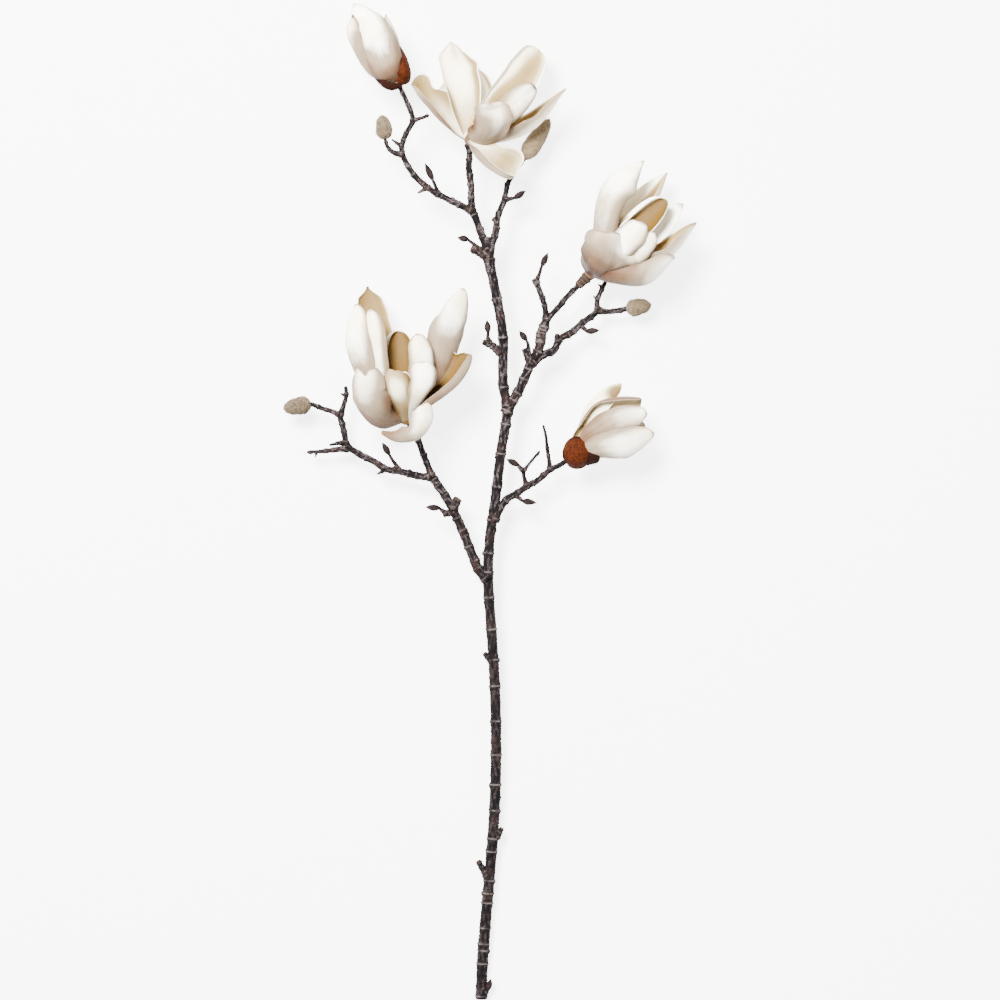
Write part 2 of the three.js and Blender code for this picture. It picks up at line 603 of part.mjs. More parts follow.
const LOWER_BUD = {
  seat: [86, 50, 40],
  axis: [0.86, 0.47, 0.1],
  tepals: [
    { rib: [[6, 23, -4], [15, 44, -4], [44, 67, -2]],
      face: [0.6, -0.6, -0.5], width: 36, cup: 60 }, // upper
    { rib: [[12, 23, -2], [31, 42, -4], [66, 50, -4]],
      face: [-0.3, -0.6, 0.75], width: 32, cup: 60, point: 0.4 }, // back
    { rib: [[17, 18, 18], [40, 30, 26], [70, 38, 14]],
      face: [0.1, 0.2, -1], width: 34, cup: 65, point: 0.45 }, // middle
    { rib: [[23, 3, 20], [48, 5, 28], [78, 18, 12]],
      face: [-0.1, 0.4, -0.9], width: 44, cup: 68, point: 0.5 }, // lower
    { rib: [[20, 6, -14], [44, 16, -20], [70, 28, -12]], face: [0, 0, 1], width: 44, cup: 65 }, // under
  ],
  scales: [
    { foot: [0, -14, 5], rib: [[-2, -8, 14], [1, 4, 18], [5, 16, 11]],
      face: [0.1, 0, -1], width: 28.6, cup: 55, claw: 0.55, wide: 0.5, point: 0.45 },
    { foot: [3, -10, 2], rib: [[12, -9, 10], [18, -6, 14], [23, -3, 16]],
      face: [0, 0.6, -0.8], width: 22, cup: 50, claw: 0.5 },
  ],
};

// The downy winter buds: foot, tip and greatest radius.
const DOWNY_BUDS = {
  top_left: { foot: [-103.3, 361.5, 56.5], tip: [-106.5, 385, 57.5], radius: 8.6 },
  top_right: { foot: [35, 344, 31], tip: [60.5, 384, 30], radius: 8.6 },
  right: { foot: [137.8, 193.7, 24], tip: [162.5, 198, 25], radius: 9 },
  left: { foot: [-178.8, 98.6, 30], tip: [-206, 93.5, 29], radius: 9.4 },
};

const DOWNY_SHAPE = [
  [0, 0], [0.01, 0.3], [0.1, 0.72], [0.28, 1], [0.5, 0.94], [0.72, 0.72], [0.9, 0.4], [1, 0],
];

function downyBud({ foot, tip, radius }, room = 0) {
  const back = vec(foot).sub(vec(tip)).setLength(room).add(vec(foot));
  return spindle(back.toArray(), tip, DOWNY_SHAPE.map(([s, r]) => [s, r * (radius + 2 * room)]), 10);
}

// ---------------------------------------------------------------- assembly

const OPEN_BLOOMS = { top_bloom: TOP_BLOOM, left_bloom: LEFT_BLOOM, right_bloom: RIGHT_BLOOM };
const HALF_OPEN_BUDS = { top_bud: TOP_BUD, lower_bud: LOWER_BUD };
const BLOOMS = [...Object.values(OPEN_BLOOMS), ...Object.values(HALF_OPEN_BUDS)];

const branch = new THREE.Group();
branch.add(mesh("branch_wood", wood(), MATERIALS.bark));
for (const [name, bloom] of Object.entries(OPEN_BLOOMS)) {
  branch.add(mesh(`${name}_tepals`, tepals(bloom), MATERIALS.tepal));
  branch.add(mesh(`${name}_stamens`, stamens(bloom), MATERIALS.stamen));
}
for (const [name, bud] of Object.entries(HALF_OPEN_BUDS)) {
  branch.add(mesh(`${name}_tepals`, tepals(bud), MATERIALS.tepal));
  scales(bud).forEach((body, i) =>
    branch.add(mesh(`${name}_scale_${i + 1}`, body, MATERIALS.bud_scale)),
  );
}
for (const [name, bud] of Object.entries(DOWNY_BUDS))
  branch.add(mesh(`${name}_downy_bud`, downyBud(bud), MATERIALS.down));
branch.position.set(-CENTRE[0], -CENTRE[1], 0);

export default branch;
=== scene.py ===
from math import pi, radians, tau

import bpy
import numpy as np
from mathutils import Matrix, Vector


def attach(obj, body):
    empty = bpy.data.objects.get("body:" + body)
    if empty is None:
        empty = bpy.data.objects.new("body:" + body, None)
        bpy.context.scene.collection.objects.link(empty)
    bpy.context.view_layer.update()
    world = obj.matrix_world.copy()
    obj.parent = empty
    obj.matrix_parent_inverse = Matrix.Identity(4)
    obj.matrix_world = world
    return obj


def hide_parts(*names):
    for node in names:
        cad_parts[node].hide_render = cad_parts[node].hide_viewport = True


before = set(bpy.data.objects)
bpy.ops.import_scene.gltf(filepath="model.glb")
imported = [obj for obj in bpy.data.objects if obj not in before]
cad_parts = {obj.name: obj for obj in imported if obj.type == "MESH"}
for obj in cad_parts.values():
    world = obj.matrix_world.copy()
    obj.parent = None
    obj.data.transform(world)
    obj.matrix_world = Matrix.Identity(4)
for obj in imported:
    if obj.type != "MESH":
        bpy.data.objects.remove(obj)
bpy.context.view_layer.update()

bl_info = {
    "name": "Magnolia branch",
    "version": (1, 0, 0),
    "blender": (4, 5, 0),
    "location": "View3D > Sidebar > Magnolia",
    "description": "Dresses a cut magnolia branch: ringed bark, waxy tepals, downy winter buds",
    "category": "Object",
}

# ---------------- routes and forms
# Places are in millimetres: to the right, up the branch and up from the table. ORIGIN is
# where the frame's own origin lies in these measures.
ORIGIN = np.array([0.5, -3.5, 0.0])
GOLDEN = 0.618034

# Heights of the ring scars up the main stem.
STEM_RINGS = (
    -498, -465, -451.6, -445, -429, -403.5, -394, -381, -351.5, -338.5, -310, -284, -254, -220,
    -184.5, -158, -127.5, -95.5, -70, -51, -18, 15.5, 48.5, 78, 97, 115, 164.5, 203.5, 242.5,
)

# What a blade has unless its own row says otherwise.
USUAL_BLADE = dict(
    foot=None, centre=None, claw=0.2, wide=0.6, point=0.6, square=2.3, rolls=(0, 0), curl=0, hook=0,
    rim=(), edge=(), dent=(), warm=0.3, glow=(), stain=0, blush=0.5, flush=(), tip=0.3, dark=0,
)


def grown(radii, *route, **more):
    """A shoot: its radius at the foot and at the tip, and the places that it grows through."""
    return dict(radii=radii, route=route, **more)


def blade(rib, face, width, cup, **more):
    """A tepal or a bud scale.

    Shape: the midrib's places as seen from the seat, the way in which the inner face looks, the
    width, the slope at the margins in degrees, and what tepal_surface says of the rest.
    Colour: `warm` inside, `blush` outside and `tip` at the point, with soft patches
    that add to the first two (`glow`, `flush`). The outside's blush at the foot is
    partly real and partly painted shade where the tepals crowd, and the patches hold painted shade
    beside real tint. A negative `warm` and some negative patches whiten as painted light where a
    tepal lies in shade. `stain` gives the outside the colours of the inside."""
    return USUAL_BLADE | dict(rib=rib, face=face, width=width, cup=cup) | more


def flower(seat, axis, *tepals, **more):
    """A bloom or a half-open bud: where it sits, the way in which it points and its tepals."""
    return dict(seat=seat, axis=axis, tepals=tepals, **more)


# Each group begins with the bough that carries the rest.
SHOOTS = [
    # main stem
    grown((5.7, 4.8), (-8, -501, 5.2), (-7, -470, 7), (-3, -416, 10), (1, -370, 12), (5, -318, 15),
        (7, -253, 18), (6, -190, 21), (3, -138, 25), (-1, -73, 29), (1, -35, 31), (6, 0, 33), (12, 50, 36),
        (18, 92, 38), (14, 120, 40), (14, 165, 42), (8, 203, 43), (3, 228, 44), (-1, 253, 45)),
    # crown
    grown((3.9, 3), (-1, 250, 45), (-12, 280, 46), (-17, 295, 47), (-18, 316, 48), (-20, 334, 47),
        (-19.5, 346, 43), (-18, 360, 47)),
    grown((3.8, 1.9), (-1, 252, 45), (6, 266, 44), (9, 286, 42), (15, 301, 40), (19, 319, 36),
        (26, 332, 33), (34, 342, 31), (37, 347, 31)),
    grown((3.4, 2.2), (-16, 290, 47), (-30, 297, 48), (-43, 303, 50), (-59, 312, 52), (-73, 324, 53),
        (-83, 339, 54), (-87, 352, 55), (-83, 366, 55), (-76, 381, 54), (-83, 401, 53), (-88.5, 413, 52.6),
        (-91, 420, 53)),
    grown((2, 1.5), (-76, 380, 54), (-67, 383, 52), (-60, 386, 48)),
    grown((2.8, 1.5), (-85, 346, 55), (-95, 348, 57), (-101, 354, 57), (-103.3, 361, 56.5),
        (-103.7, 364, 56.6)),
    # left bough
    grown((4.9, 4.1), (-1, -78, 29), (-11, -67, 29), (-16, -55, 30), (-22, -40, 31), (-28, -25, 32),
        (-36, -8, 34), (-43, 5, 35), (-52, 18, 36), (-58, 27, 37)),
    grown((3.3, 2.9), (-57, 25, 37), (-61, 36, 38), (-66, 48, 38), (-70, 60, 38), (-76, 72, 40),
        (-83, 84, 46)),
    grown((3.6, 3), (-57, 25, 37), (-70, 26, 36), (-91, 31, 34), (-103, 33, 33), (-116, 41, 31),
        (-130, 48, 30), (-142, 57, 29), (-146, 73, 29), (-150, 88, 30)),
    grown((2.5, 2.2), (-149, 87, 30), (-158, 91, 31), (-168, 94, 31), (-178, 98, 30), (-182, 98, 29.9)),
    grown((2.7, 1.9), (-149, 86, 30), (-146, 96, 32), (-143, 106, 34), (-143.5, 116, 35)),
    grown((3.2, 1.5), (-141, 54, 29), (-154, 52.5, 26), (-165, 51, 24), (-183, 50, 22)),
    # right bough
    grown((4.8, 4.4), (17, 88, 38), (24, 101, 39), (31, 114, 40), (36, 125, 41), (42, 139, 42),
        (50, 153, 43), (52, 166, 43), (58, 184, 43), ringed=(82, 85.5, 89, 92.5, 96), scarred=1.0),
    grown((2.8, 2.7), (57, 182, 43), (68, 193, 43), (77, 204, 43), (86, 213, 42), (92, 219, 42.5),
        (102, 229, 46)),
    grown((3, 2.7), (57, 181, 43), (56, 194, 46), (53, 204, 48), (50, 212, 50), (47, 221, 51)),
    grown((3.9, 3.1), (42, 138, 42), (56, 148, 39), (65, 152, 37), (68, 158, 36), (72, 164, 35),
        (83, 170, 33), (93, 179, 31), (105, 188, 29), (110, 193, 28)),
    grown((2.8, 2.5), (109, 192, 28), (120, 191, 26), (137, 193.5, 24), (141, 194.3, 24.2)),
    grown((2.7, 2.1), (109, 191, 28), (108.5, 201, 26), (112, 211, 23), (117.5, 222, 20)),
    # lower right bough
    grown((4, 2.3), (5, -19, 33), (9, -10, 34), (18, 3, 35), (27, 8, 36), (40, 17, 37), (48, 21, 38),
        (55, 27, 38), (62, 33, 38), (69, 36, 38), (78, 42, 38.5), (86, 50, 40)),
    grown((2.2, 1.8), (38, 16, 37), (35, 25, 41), (34, 32, 43)),
    grown((1.7, 1.2), (34, 30, 43), (40, 38, 44), (51, 51, 46)),
    grown((2.3, 1.2), (61, 32, 38), (60, 42, 42), (58, 54, 45), (57, 65, 47), (54, 77, 48)),
]
STUBS = [
    grown((3, 6), (89, 216, 41.5), (95, 222, 43.2), (102, 229, 46), brown=0.65),
    grown((3, 2.4), (3, -160, 24), (-5, -152, 27)),
    grown((3.2, 2.4), (7, -338, 14), (13, -328, 16)),
    grown((3.4, 2.6), (0, -382, 12), (-5, -372, 14), (-11, -361, 16)),
    grown((3.6, 2.9), (12, 149, 41), (3, 156, 43), (-6, 160, 45)),
    grown((4.8, 4), (0, 246, 45), (-9, 249.5, 48), (-17, 253.5, 51)),
    grown((4.1, 6.8), (3, 224, 44), (-0.5, 242, 45), (0, 254, 45), (0.5, 264.5, 45), rings=(19,),
        flare=-0.1),
    grown((2.7, 3.3), (48.5, 217, 50.5), (45.5, 222.5, 52)),
    grown((2.6, 2.2), (9, 279, 43), (4, 283, 46)),
    grown((3.2, 2.7), (-34, -9, 34), (-46, -13, 36)),
    grown((4.6, 4.2), (-37, -6, 34), (-31, 3, 38)),
    grown((3.6, 3.1), (42, 138, 42), (38, 147, 44), (35, 153, 45)),
    grown((2.8, 2.2), (69, 160, 36), (68, 168, 38)),
    grown((2.6, 1.1), (-142, 60.5, 29), (-160, 57, 32)),
    grown((1.6, 0.6), (-143.5, 107, 34), (-149, 108.5, 36)),
    grown((1.5, 0.6), (-173, 51, 23), (-174.5, 45, 24)),
    grown((1.5, 0.6), (109, 202, 26), (104.5, 207, 28)),
    grown((1.5, 0.6), (114, 215, 22), (109.5, 219, 24)),
    grown((2, 0.9), (-102, 33, 33), (-112, 28, 36)),
    grown((2, 0.9), (-86, 354, 55), (-97, 361, 58)),
    grown((2, 0.9), (-62, 313, 52), (-71, 308, 54)),
    grown((2.8, 1.7), (-18.5, 350, 45), (-23.5, 357, 48)),
]
LEAF_BUDS = [
    dict(tip=(2, -480, 11), twig=[(-4, -496, 7), (-1, -491, 9)]),
    dict(tip=(-2, 182, 48), twig=[(2, 158, 43), (-1, 164, 46), (-1, 170, 47)]),
    dict(tip=(-32, 263.5, 54), twig=[(-8, 251, 49), (-15, 257, 51), (-21.5, 262, 53)]),
    dict(tip=(37, 311, 46), twig=[(16, 302, 40), (26, 304, 43)]),
    dict(tip=(-64, 338, 58), twig=[(-46, 304, 50), (-51, 310, 53), (-56, 321, 56)]),
    dict(tip=(-107, 60, 43), twig=[(-89, 31, 34), (-96, 41, 38), (-100, 48, 40)]),
    dict(tip=(-64, -5, 43), twig=[(-42, -12, 36), (-50, -6, 40)]),
    dict(tip=(30, 171, 51), twig=[(40, 146, 44), (39, 157, 48), (37, 162, 49)]),
    dict(tip=(59, 249, 53), twig=[(47, 218, 51), (51, 230, 52), (53, 236, 52)]),
    dict(tip=(111, 172, 35), twig=[(92, 177, 31), (98, 171, 33)]),
    dict(tip=(17, 43, 47), twig=[(34, 31, 43), (29, 37, 45)]),
    dict(tip=(48, -1, 39), twig=[(26, 7, 36), (34, 1, 38)]),
]
TOP_BLOOM = flower(
    (-18, 362, 48), (0.1, 0.88, 0.45),
    # left
    blade([(-13, 9, 1), (-28, 24, 3), (-41, 39, 8), (-52, 50, 12), (-59, 53, 14)], (0.45, 0.45, 0.77), 43,
        62, wide=0.5, point=0.5, square=2.4, rolls=(45, -20), curl=-2, edge=[(1, 0.36, 0.14, 6),
        (1, 0.66, 0.1, -10), (1, 0.9, 0.08, -2)], warm=0.25, glow=[(0.85, 0.1, 0.25, 0.9, 0.55),
        (0.1, 0, 0.2, 1, -0.4), (0.45, 0.8, 0.2, 0.3, 0.3)], blush=0.6, flush=[(0.5, -1, 0.5, 0.4, 0.25)],
        tip=0.6),
    # back left: its tan patch along one margin is painted shade on the inner wall
    blade([(-6, 38, 4), (-13, 69, -2), (-20, 98, -10)], (0.05, -0.25, 1), 43, 48, wide=0.55, point=0.9,
        rolls=(25, 15), edge=[(-1, 0.84, 0.1, 3.5), (1, 0.84, 0.1, -3), (1, 0.66, 0.05, 3)], warm=0.05,
        glow=[(0.6, 0.85, 0.35, 0.3, 0.6), (0.3, -0.9, 0.2, 0.3, 0.5), (0.9, 0.1, 0.15, 0.5, 0.3)],
        tip=0.6),
    # back
    blade([(6, 28, -10), (7, 50, -26), (-1, 78, -38)], (0, -0.3, 1), 34, 40, point=1, warm=0.15,
        glow=[(0.6, 0.9, 0.4, 0.2, 0.5)]),
    # back right
    blade([(24, 36, 4), (49, 66, -6), (67, 91, -16)], (-0.25, -0.2, 1), 36, 44, wide=0.62, point=0.5,
        square=6, rolls=(45, -25), rim=[(0.9, 0.5, 6)], edge=[(-1, 0.5, 0.15, -3), (1, 0.58, 0.18, 7),
        (1, 0.95, 0.12, -3.5)], warm=0.2, glow=[(0.72, 0.3, 0.3, 0.5, 0.5), (0.3, 0.1, 0.2, 0.8, 0.3),
        (0.5, -0.8, 0.5, 0.3, -0.5)], blush=0.6, tip=0.2),
    # inner right
    blade([(24, 12, 18), (45, 28, 32), (62.5, 49, 40)], (-0.3, 0.4, -0.9), 34, 56, point=0.52, square=2.6,
        curl=2, rim=[(0.3, 0.3, 2)], dent=[(0.9, -0.1, 0.1, 0.25, 1.5), (0.6, 0.2, 0.4, 0.15, 1)], warm=0.4,
        blush=0.4, flush=[(0.6, 0, 1, 1, 0.1)], tip=0.9),
    # right
    blade([(32, -1, 2), (64, 13, 6), (94, 49, 12)], (-0.42, 0.8, 0.28), 44, 82, wide=0.5, point=1.0,
        edge=[(1, 0.72, 0.06, -3), (1, 0.6, 0.06, 2)], warm=0.5, blush=0.35,
        flush=[(0.45, 0.9, 0.5, 0.5, 0.1)], tip=0.4),
    # front
    blade([(13, 1, 28), (20, 15, 44), (20, 31, 48)], (0, 0.35, -1), 39, 60, claw=0.75, wide=0.72, point=0.3,
        square=6, rolls=(-45, 0), curl=2, rim=[(-0.5, 0.3, 2), (0.95, 0.25, 1.5)],
        edge=[(-1, 0.6, 0.25, 2)], dent=[(1.0, 0.2, 0.07, 0.9, -3), (0.86, 0.2, 0.06, 0.7, 1.3)], blush=0.6,
        flush=[(0.62, 0.3, 0.35, 0.7, 0.45), (0.25, 0.9, 0.2, 0.3, 0.7)], tip=0),
    # bottom
    blade([(13, -12, 16), (26, -25, 19), (44, -36, 12)], (0.35, 0.4, 0.85), 50, 55, point=0.55, square=3,
        rolls=(-10, 68), rim=[(-0.8, 0.4, 6)], edge=[(-1, 0.5, 0.2, -11), (-1, 0.86, 0.13, 3),
        (1, 0.4, 0.2, 4)], dent=[(0.72, 0.3, 0.12, 0.12, 3), (0.6, -0.1, 0.3, 0.12, -1.5)], warm=0.1,
        glow=[(0.75, -0.3, 0.35, 0.9, 0.42), (0.5, 0.9, 0.5, 0.3, -0.3), (0.1, 0, 0.2, 1, -0.3)], blush=0.6,
        tip=0.15),
    # under
    blade([(-10, 20, -26), (-16, 42, -43), (-20, 66, -46.6)], (0.1, 0.2, 1), 40, 45),
)
LEFT_BLOOM = flower(
    (-83, 84, 46), (-0.1, 0.86, 0.5),
    # back left, tall
    blade([(-15, 40, -10), (-30, 85, -16), (-36, 112, -19), (-39, 132, -20)], (0.15, -0.3, 1), 40, 52,
        point=1.3, rolls=(20, 10), edge=[(-1, 0.86, 0.04, 2.5), (1, 0.84, 0.05, 2)], warm=0.8,
        glow=[(0.6, 1, 0.4, 0.25, -0.75)], tip=1),
    # left
    blade([(-38, 36, 20), (-53, 76, 30), (-49, 113, 26)], (0.7, -0.1, -0.7), 44, 66, wide=0.5, point=0.62,
        rolls=(22, 30), rim=[(-0.6, 0.3, 2), (0.2, 0.2, -2.5)], dent=[(0.9, -0.5, 0.12, 0.3, 3)], warm=0.7,
        blush=0.75, flush=[(0.35, 0.4, 0.3, 0.8, 0.2), (0.1, 0, 0.15, 1, 0.3)]),
    # left inner
    blade([(-24, 33, 24), (-31, 73, 34), (-34, 106, 32)], (0.5, 0, -0.85), 26, 62, point=0.42, square=3,
        curl=1.5, dent=[(0.5, 0.1, 0.4, 0.25, 1.5)], warm=0.6, blush=0.45,
        flush=[(0.5, -0.8, 0.4, 0.3, 0.2)], tip=0.1),
    # middle
    blade([(-6, 33, 5), (-9, 61, 6), (-7, 86, 4)], (0, -0.1, 1), 40, 55, point=0.45, square=2.6,
        rolls=(100, 12), edge=[(-1, 0.9, 0.1, 1.5)], warm=1.3, blush=0.9, tip=0),
    # middle right
    blade([(13, 33, 20), (17, 58, 34), (12, 82, 38)], (-0.2, 0, -1), 28, 52, point=0.5, square=3,
        dent=[(0.95, 0.5, 0.1, 0.4, 3)], blush=0.15, tip=0.1),
    # right, tall
    blade([(28, 36, 10), (41, 81, 20), (49, 106, 22), (56, 129, 22)], (-0.35, 0, -0.93), 42, 50, point=0.62,
        square=2, rolls=(10, 25), hook=-1.5, rim=[(0.4, 0.4, -2)], edge=[(1, 0.74, 0.13, -6.5),
        (1, 0.92, 0.08, -4), (1, 0.5, 0.06, 1), (-1, 0.52, 0.1, 2)], dent=[(0.8, 0.75, 0.08, 0.2, 2.5)],
        warm=0.4, blush=1.0, flush=[(0.45, -0.2, 0.25, 0.8, 0.15), (0.1, 0, 0.2, 1, 0.2)]),
    # right
    blade([(18, 14, 14), (45, 36, 16), (63, 62, 16)], (-0.5, 0.47, 0.72), 54, 66, wide=0.66, point=0.5,
        square=3.4, rolls=(-10, 65), rim=[(-0.8, 0.15, 6), (-0.45, 0.15, -4), (0.3, 0.3, 2)], warm=1.4,
        flush=[(0.6, 0.7, 0.6, 0.5, 0.3)], tip=0.1),
    # front right
    blade([(12, 20, 36), (18, 37, 46), (17, 54, 48)], (0, 0.1, -1), 31, 56, claw=0.25, wide=0.72,
        point=0.42, square=3, rolls=(10, 10), rim=[(0.7, 0.3, 1.5)], warm=0.4, blush=0.35,
        flush=[(0.4, -0.9, 0.4, 0.3, 0.3)], tip=0),
    # front left
    blade([(-23, 0, 28), (-37, 20, 46), (-38.5, 45, 46)], (0.2, 0.2, -1), 40, 60, claw=0.35, wide=0.66,
        point=0.33, square=6, rim=[(0.5, 0.16, 5), (0.05, 0.12, -4), (-0.5, 0.25, 3.5)],
        edge=[(1, 0.45, 0.2, 2), (-1, 0.3, 0.22, 6)], dent=[(0.85, -0.05, 0.4, 0.12, 1.5)], warm=0.7,
        blush=1.0, flush=[(0.5, 0, 1, 2, 0.25), (0.6, -0.5, 0.4, 0.3, 0.15)], tip=0),
    # front inner
    blade([(-4, 14, 24), (-8, 26, 34), (-13, 44, 40)], (0, 0.2, -1), 38, 50, claw=0.65, point=0.38,
        square=4, rim=[(0.1, 0.2, 3), (0.7, 0.2, -3), (-0.6, 0.15, -2)], dent=[(0.6, 0.05, 0.4, 0.2, -1.5)],
        warm=0.15, glow=[(0.55, -0.9, 0.5, 0.4, 1.0), (0.6, 0.9, 0.5, 0.45, 1.0), (0.5, 0.5, 0.4, 0.2, 0.4),
        (0.15, 0, 0.25, 1, 0.3), (0.75, -0.1, 0.3, 0.3, -0.1), (0.95, 0, 0.12, 1, 0.4)], stain=0.9,
        blush=0.6, flush=[(0.7, 0, 0.5, 1, 0.15)], tip=0),
    # bottom
    blade([(-12, -20.5, 32), (1, -20.5, 34), (12, -16, 36), (20, -3, 38), (20, 8, 38), (18, 12, 38)], None,
        31, 64, foot=(-23, -15.5, 26), centre=(-2, 4, 8), claw=0.15, wide=0.75, point=0.4, square=4,
        edge=[(1, 0.3, 0.06, 2), (1, 0.42, 0.05, -2), (1, 0.6, 0.06, 2)], warm=0.9, blush=0.6,
        flush=[(0.3, 0, 0.3, 1, 0.12), (0.05, 0, 0.15, 1, 0.3)], tip=0.1),
    # under
    blade([(0, 20, -24), (-4, 44, -41), (-6, 68, -44.6)], (0, 0.2, 1), 44, 45),
    ochre_seat=1,
)
RIGHT_BLOOM = flower(
    (102, 229, 46), (0.64, 0.66, 0.4),
    # left, tall
    blade([(7, 38, 16), (15, 77, 24), (31, 98, 20), (52, 110, 15)], (0.5, -0.5, -0.7), 50, 56, claw=0.55,
        point=0.95, rolls=(32, 15), edge=[(-1, 0.93, 0.06, -2.5), (-1, 0.66, 0.08, 3),
        (-1, 0.35, 0.18, -3)], dent=[(0.5, -0.1, 0.4, 0.1, 1.2)], warm=0.85, blush=0.55,
        flush=[(0.3, 0.3, 0.3, 0.6, 0.1)], tip=0.7),
    # back: the negative warm whitens the inside as painted light, where the tall left tepal shades it
    blade([(24, 30, -6), (49, 60, -12), (76, 101, -16)], (-0.5, 0.4, 0.8), 42, 45, point=1, rolls=(0, 70),
        warm=-0.3, glow=[(0.6, 0.0, 0.6, 0.4, 1.3), (0.33, -0.6, 0.18, 0.8, 1.9)], blush=0.3, tip=0.7),
    # middle: the negative patches whiten the inside along the rolled margin as painted light, where the
    # roll shades it
    blade([(23, 25, 8), (46, 47, 10), (72, 71, 12)], (-0.35, -0.1, 0.9), 39, 56, point=0.5, square=4,
        rolls=(110, 10), rim=[(0.3, 0.4, 3), (-0.5, 0.3, 1)], warm=1.35, glow=[(0.85, -1, 0.22, 0.45, -2.2),
        (0.85, -0.6, 0.3, 0.2, -1.2), (0.6, 0.2, 0.4, 0.3, 0.1)], stain=0.95),
    # right back: the negative warm whitens the inside as painted light, where the middle tepal shades it
    blade([(28, 21, 0), (60, 42, -4), (92, 69, -6)], (-0.4, 0.3, 0.9), 42, 32, point=0.8, rolls=(0, 10),
        warm=-0.5, tip=0.8),
    # right
    blade([(32, 7, 8), (76, 14, 10), (104, 49, 12)], (-0.5, 0.7, 0.25), 50, 80, point=0.9, rolls=(15, 0),
        edge=[(1, 0.7, 0.07, -2), (1, 0.82, 0.05, 2)], warm=0.55, blush=0.3, tip=0.7),
    # front: its patches paint shade across the middle and painted light on the side lobe
    blade([(2, 3, 28), (10, 19, 50), (14, 38, 54)], (0.15, 0.25, -1), 52, 62, claw=0.8, wide=0.68,
        point=0.28, square=6, rim=[(0.95, 0.2, 4), (0.2, 0.3, -2), (-0.75, 0.16, 6)],
        edge=[(-1, 0.55, 0.12, 16), (-1, 0.28, 0.1, -2), (-1, 0.85, 0.1, -3)],
        dent=[(0.65, -0.5, 0.45, 0.1, 2.4), (0.5, 0.35, 0.4, 0.12, 0.8)], warm=0.5, blush=1.5,
        flush=[(0.6, 0.1, 0.7, 0.9, 0.5), (0.5, -0.95, 0.35, 0.3, -0.7)], tip=0.1),
    # front middle
    blade([(15, 12, 34), (33, 29, 50), (49, 46, 53)], (0.1, 0.1, -1), 32, 52, point=0.5, square=3.4,
        rim=[(-0.4, 0.3, 2), (0.3, 0.2, -1.5)], dent=[(0.85, 0.2, 0.09, 0.2, 2.2)], blush=0.3),
    # inner right
    blade([(22, 8, 26), (45, 21, 40), (63.5, 35.5, 43)], (0, 0.2, -1), 33, 50, point=0.7, blush=0.3,
        flush=[(0.6, 0, 1, 1, -0.05)], tip=1),
    # bottom
    blade([(22, -9, 10), (56, -11, 18), (82, 14, 22)], (-0.15, 0.96, 0.12), 68, 92, claw=0.5, point=0.45,
        square=3, rolls=(0, 45), rim=[(0.6, 0.25, -3)], warm=0.85, blush=1.0,
        flush=[(0.35, 0.4, 0.3, 0.8, 0.5), (0.7, 0.3, 0.3, 1, 0.1)], tip=0.2),
    # under
    blade([(16, 14, -24), (36, 36, -41), (58, 54, -44.6)], (0, 0, 1), 46, 50),
)
TOP_BUD = flower(
    (-91, 420, 53), (-0.48, 0.87, 0.05),
    # front
    blade([(-10, 8, 20), (-23, 36, 24), (-34, 57, 17), (-43, 75, 7)], (0.2, 0.08, -1), 54, 80, claw=0.7,
        wide=0.5, point=0.62, edge=[(-1, 0.86, 0.12, -2.5)], dent=[(0.5, -0.4, 0.35, 0.1, 1.0),
        (0.45, 0.45, 0.35, 0.1, 1.2), (0.55, 0.05, 0.3, 0.1, 0.5)], blush=1.25,
        flush=[(0.5, -0.1, 0.2, 0.5, -0.25), (0.45, 0.9, 0.4, 0.3, 0.2)], tip=0.4),
    # right
    blade([(4, 16, 2), (-1, 42, 4), (-12, 65, 6)], (-0.9, -0.4, 0), 36, 74, point=0.9,
        flush=[(0.7, 0, 0.4, 1, 0.3)], tip=1),
    # left
    blade([(-26, 6, 2), (-43, 33, 6), (-49, 50, 9), (-45, 63, 15)], (0.87, 0.49, 0.1), 42, 74, claw=0.5,
        point=0.5, rolls=(35, 30), dent=[(0.92, 0, 0.08, 0.4, 2)], blush=0.7, flush=[(0.5, 0, 1, 1, 0.15)],
        tip=1),
    # under
    blade([(-10, 12, -18), (-20, 42, -20), (-34, 69, -8)], (0, 0, 1), 48, 75, claw=0.5, tip=0.6),
    scales=[
        blade([(9, 4, 10), (7, 19, 9), (0, 36, 4)], (-0.75, -0.3, -0.65), 25, 60, foot=(2, -3, 6),
            claw=0.75, wide=0.4, point=0.8),
        blade([(-5, -8.5, 8), (-13, -6, 8), (-22, 3, 5)], (0.45, 0.85, -0.4), 13, 70, foot=(3, -6, 6),
            claw=0.6, dark=0.75),
    ],
)
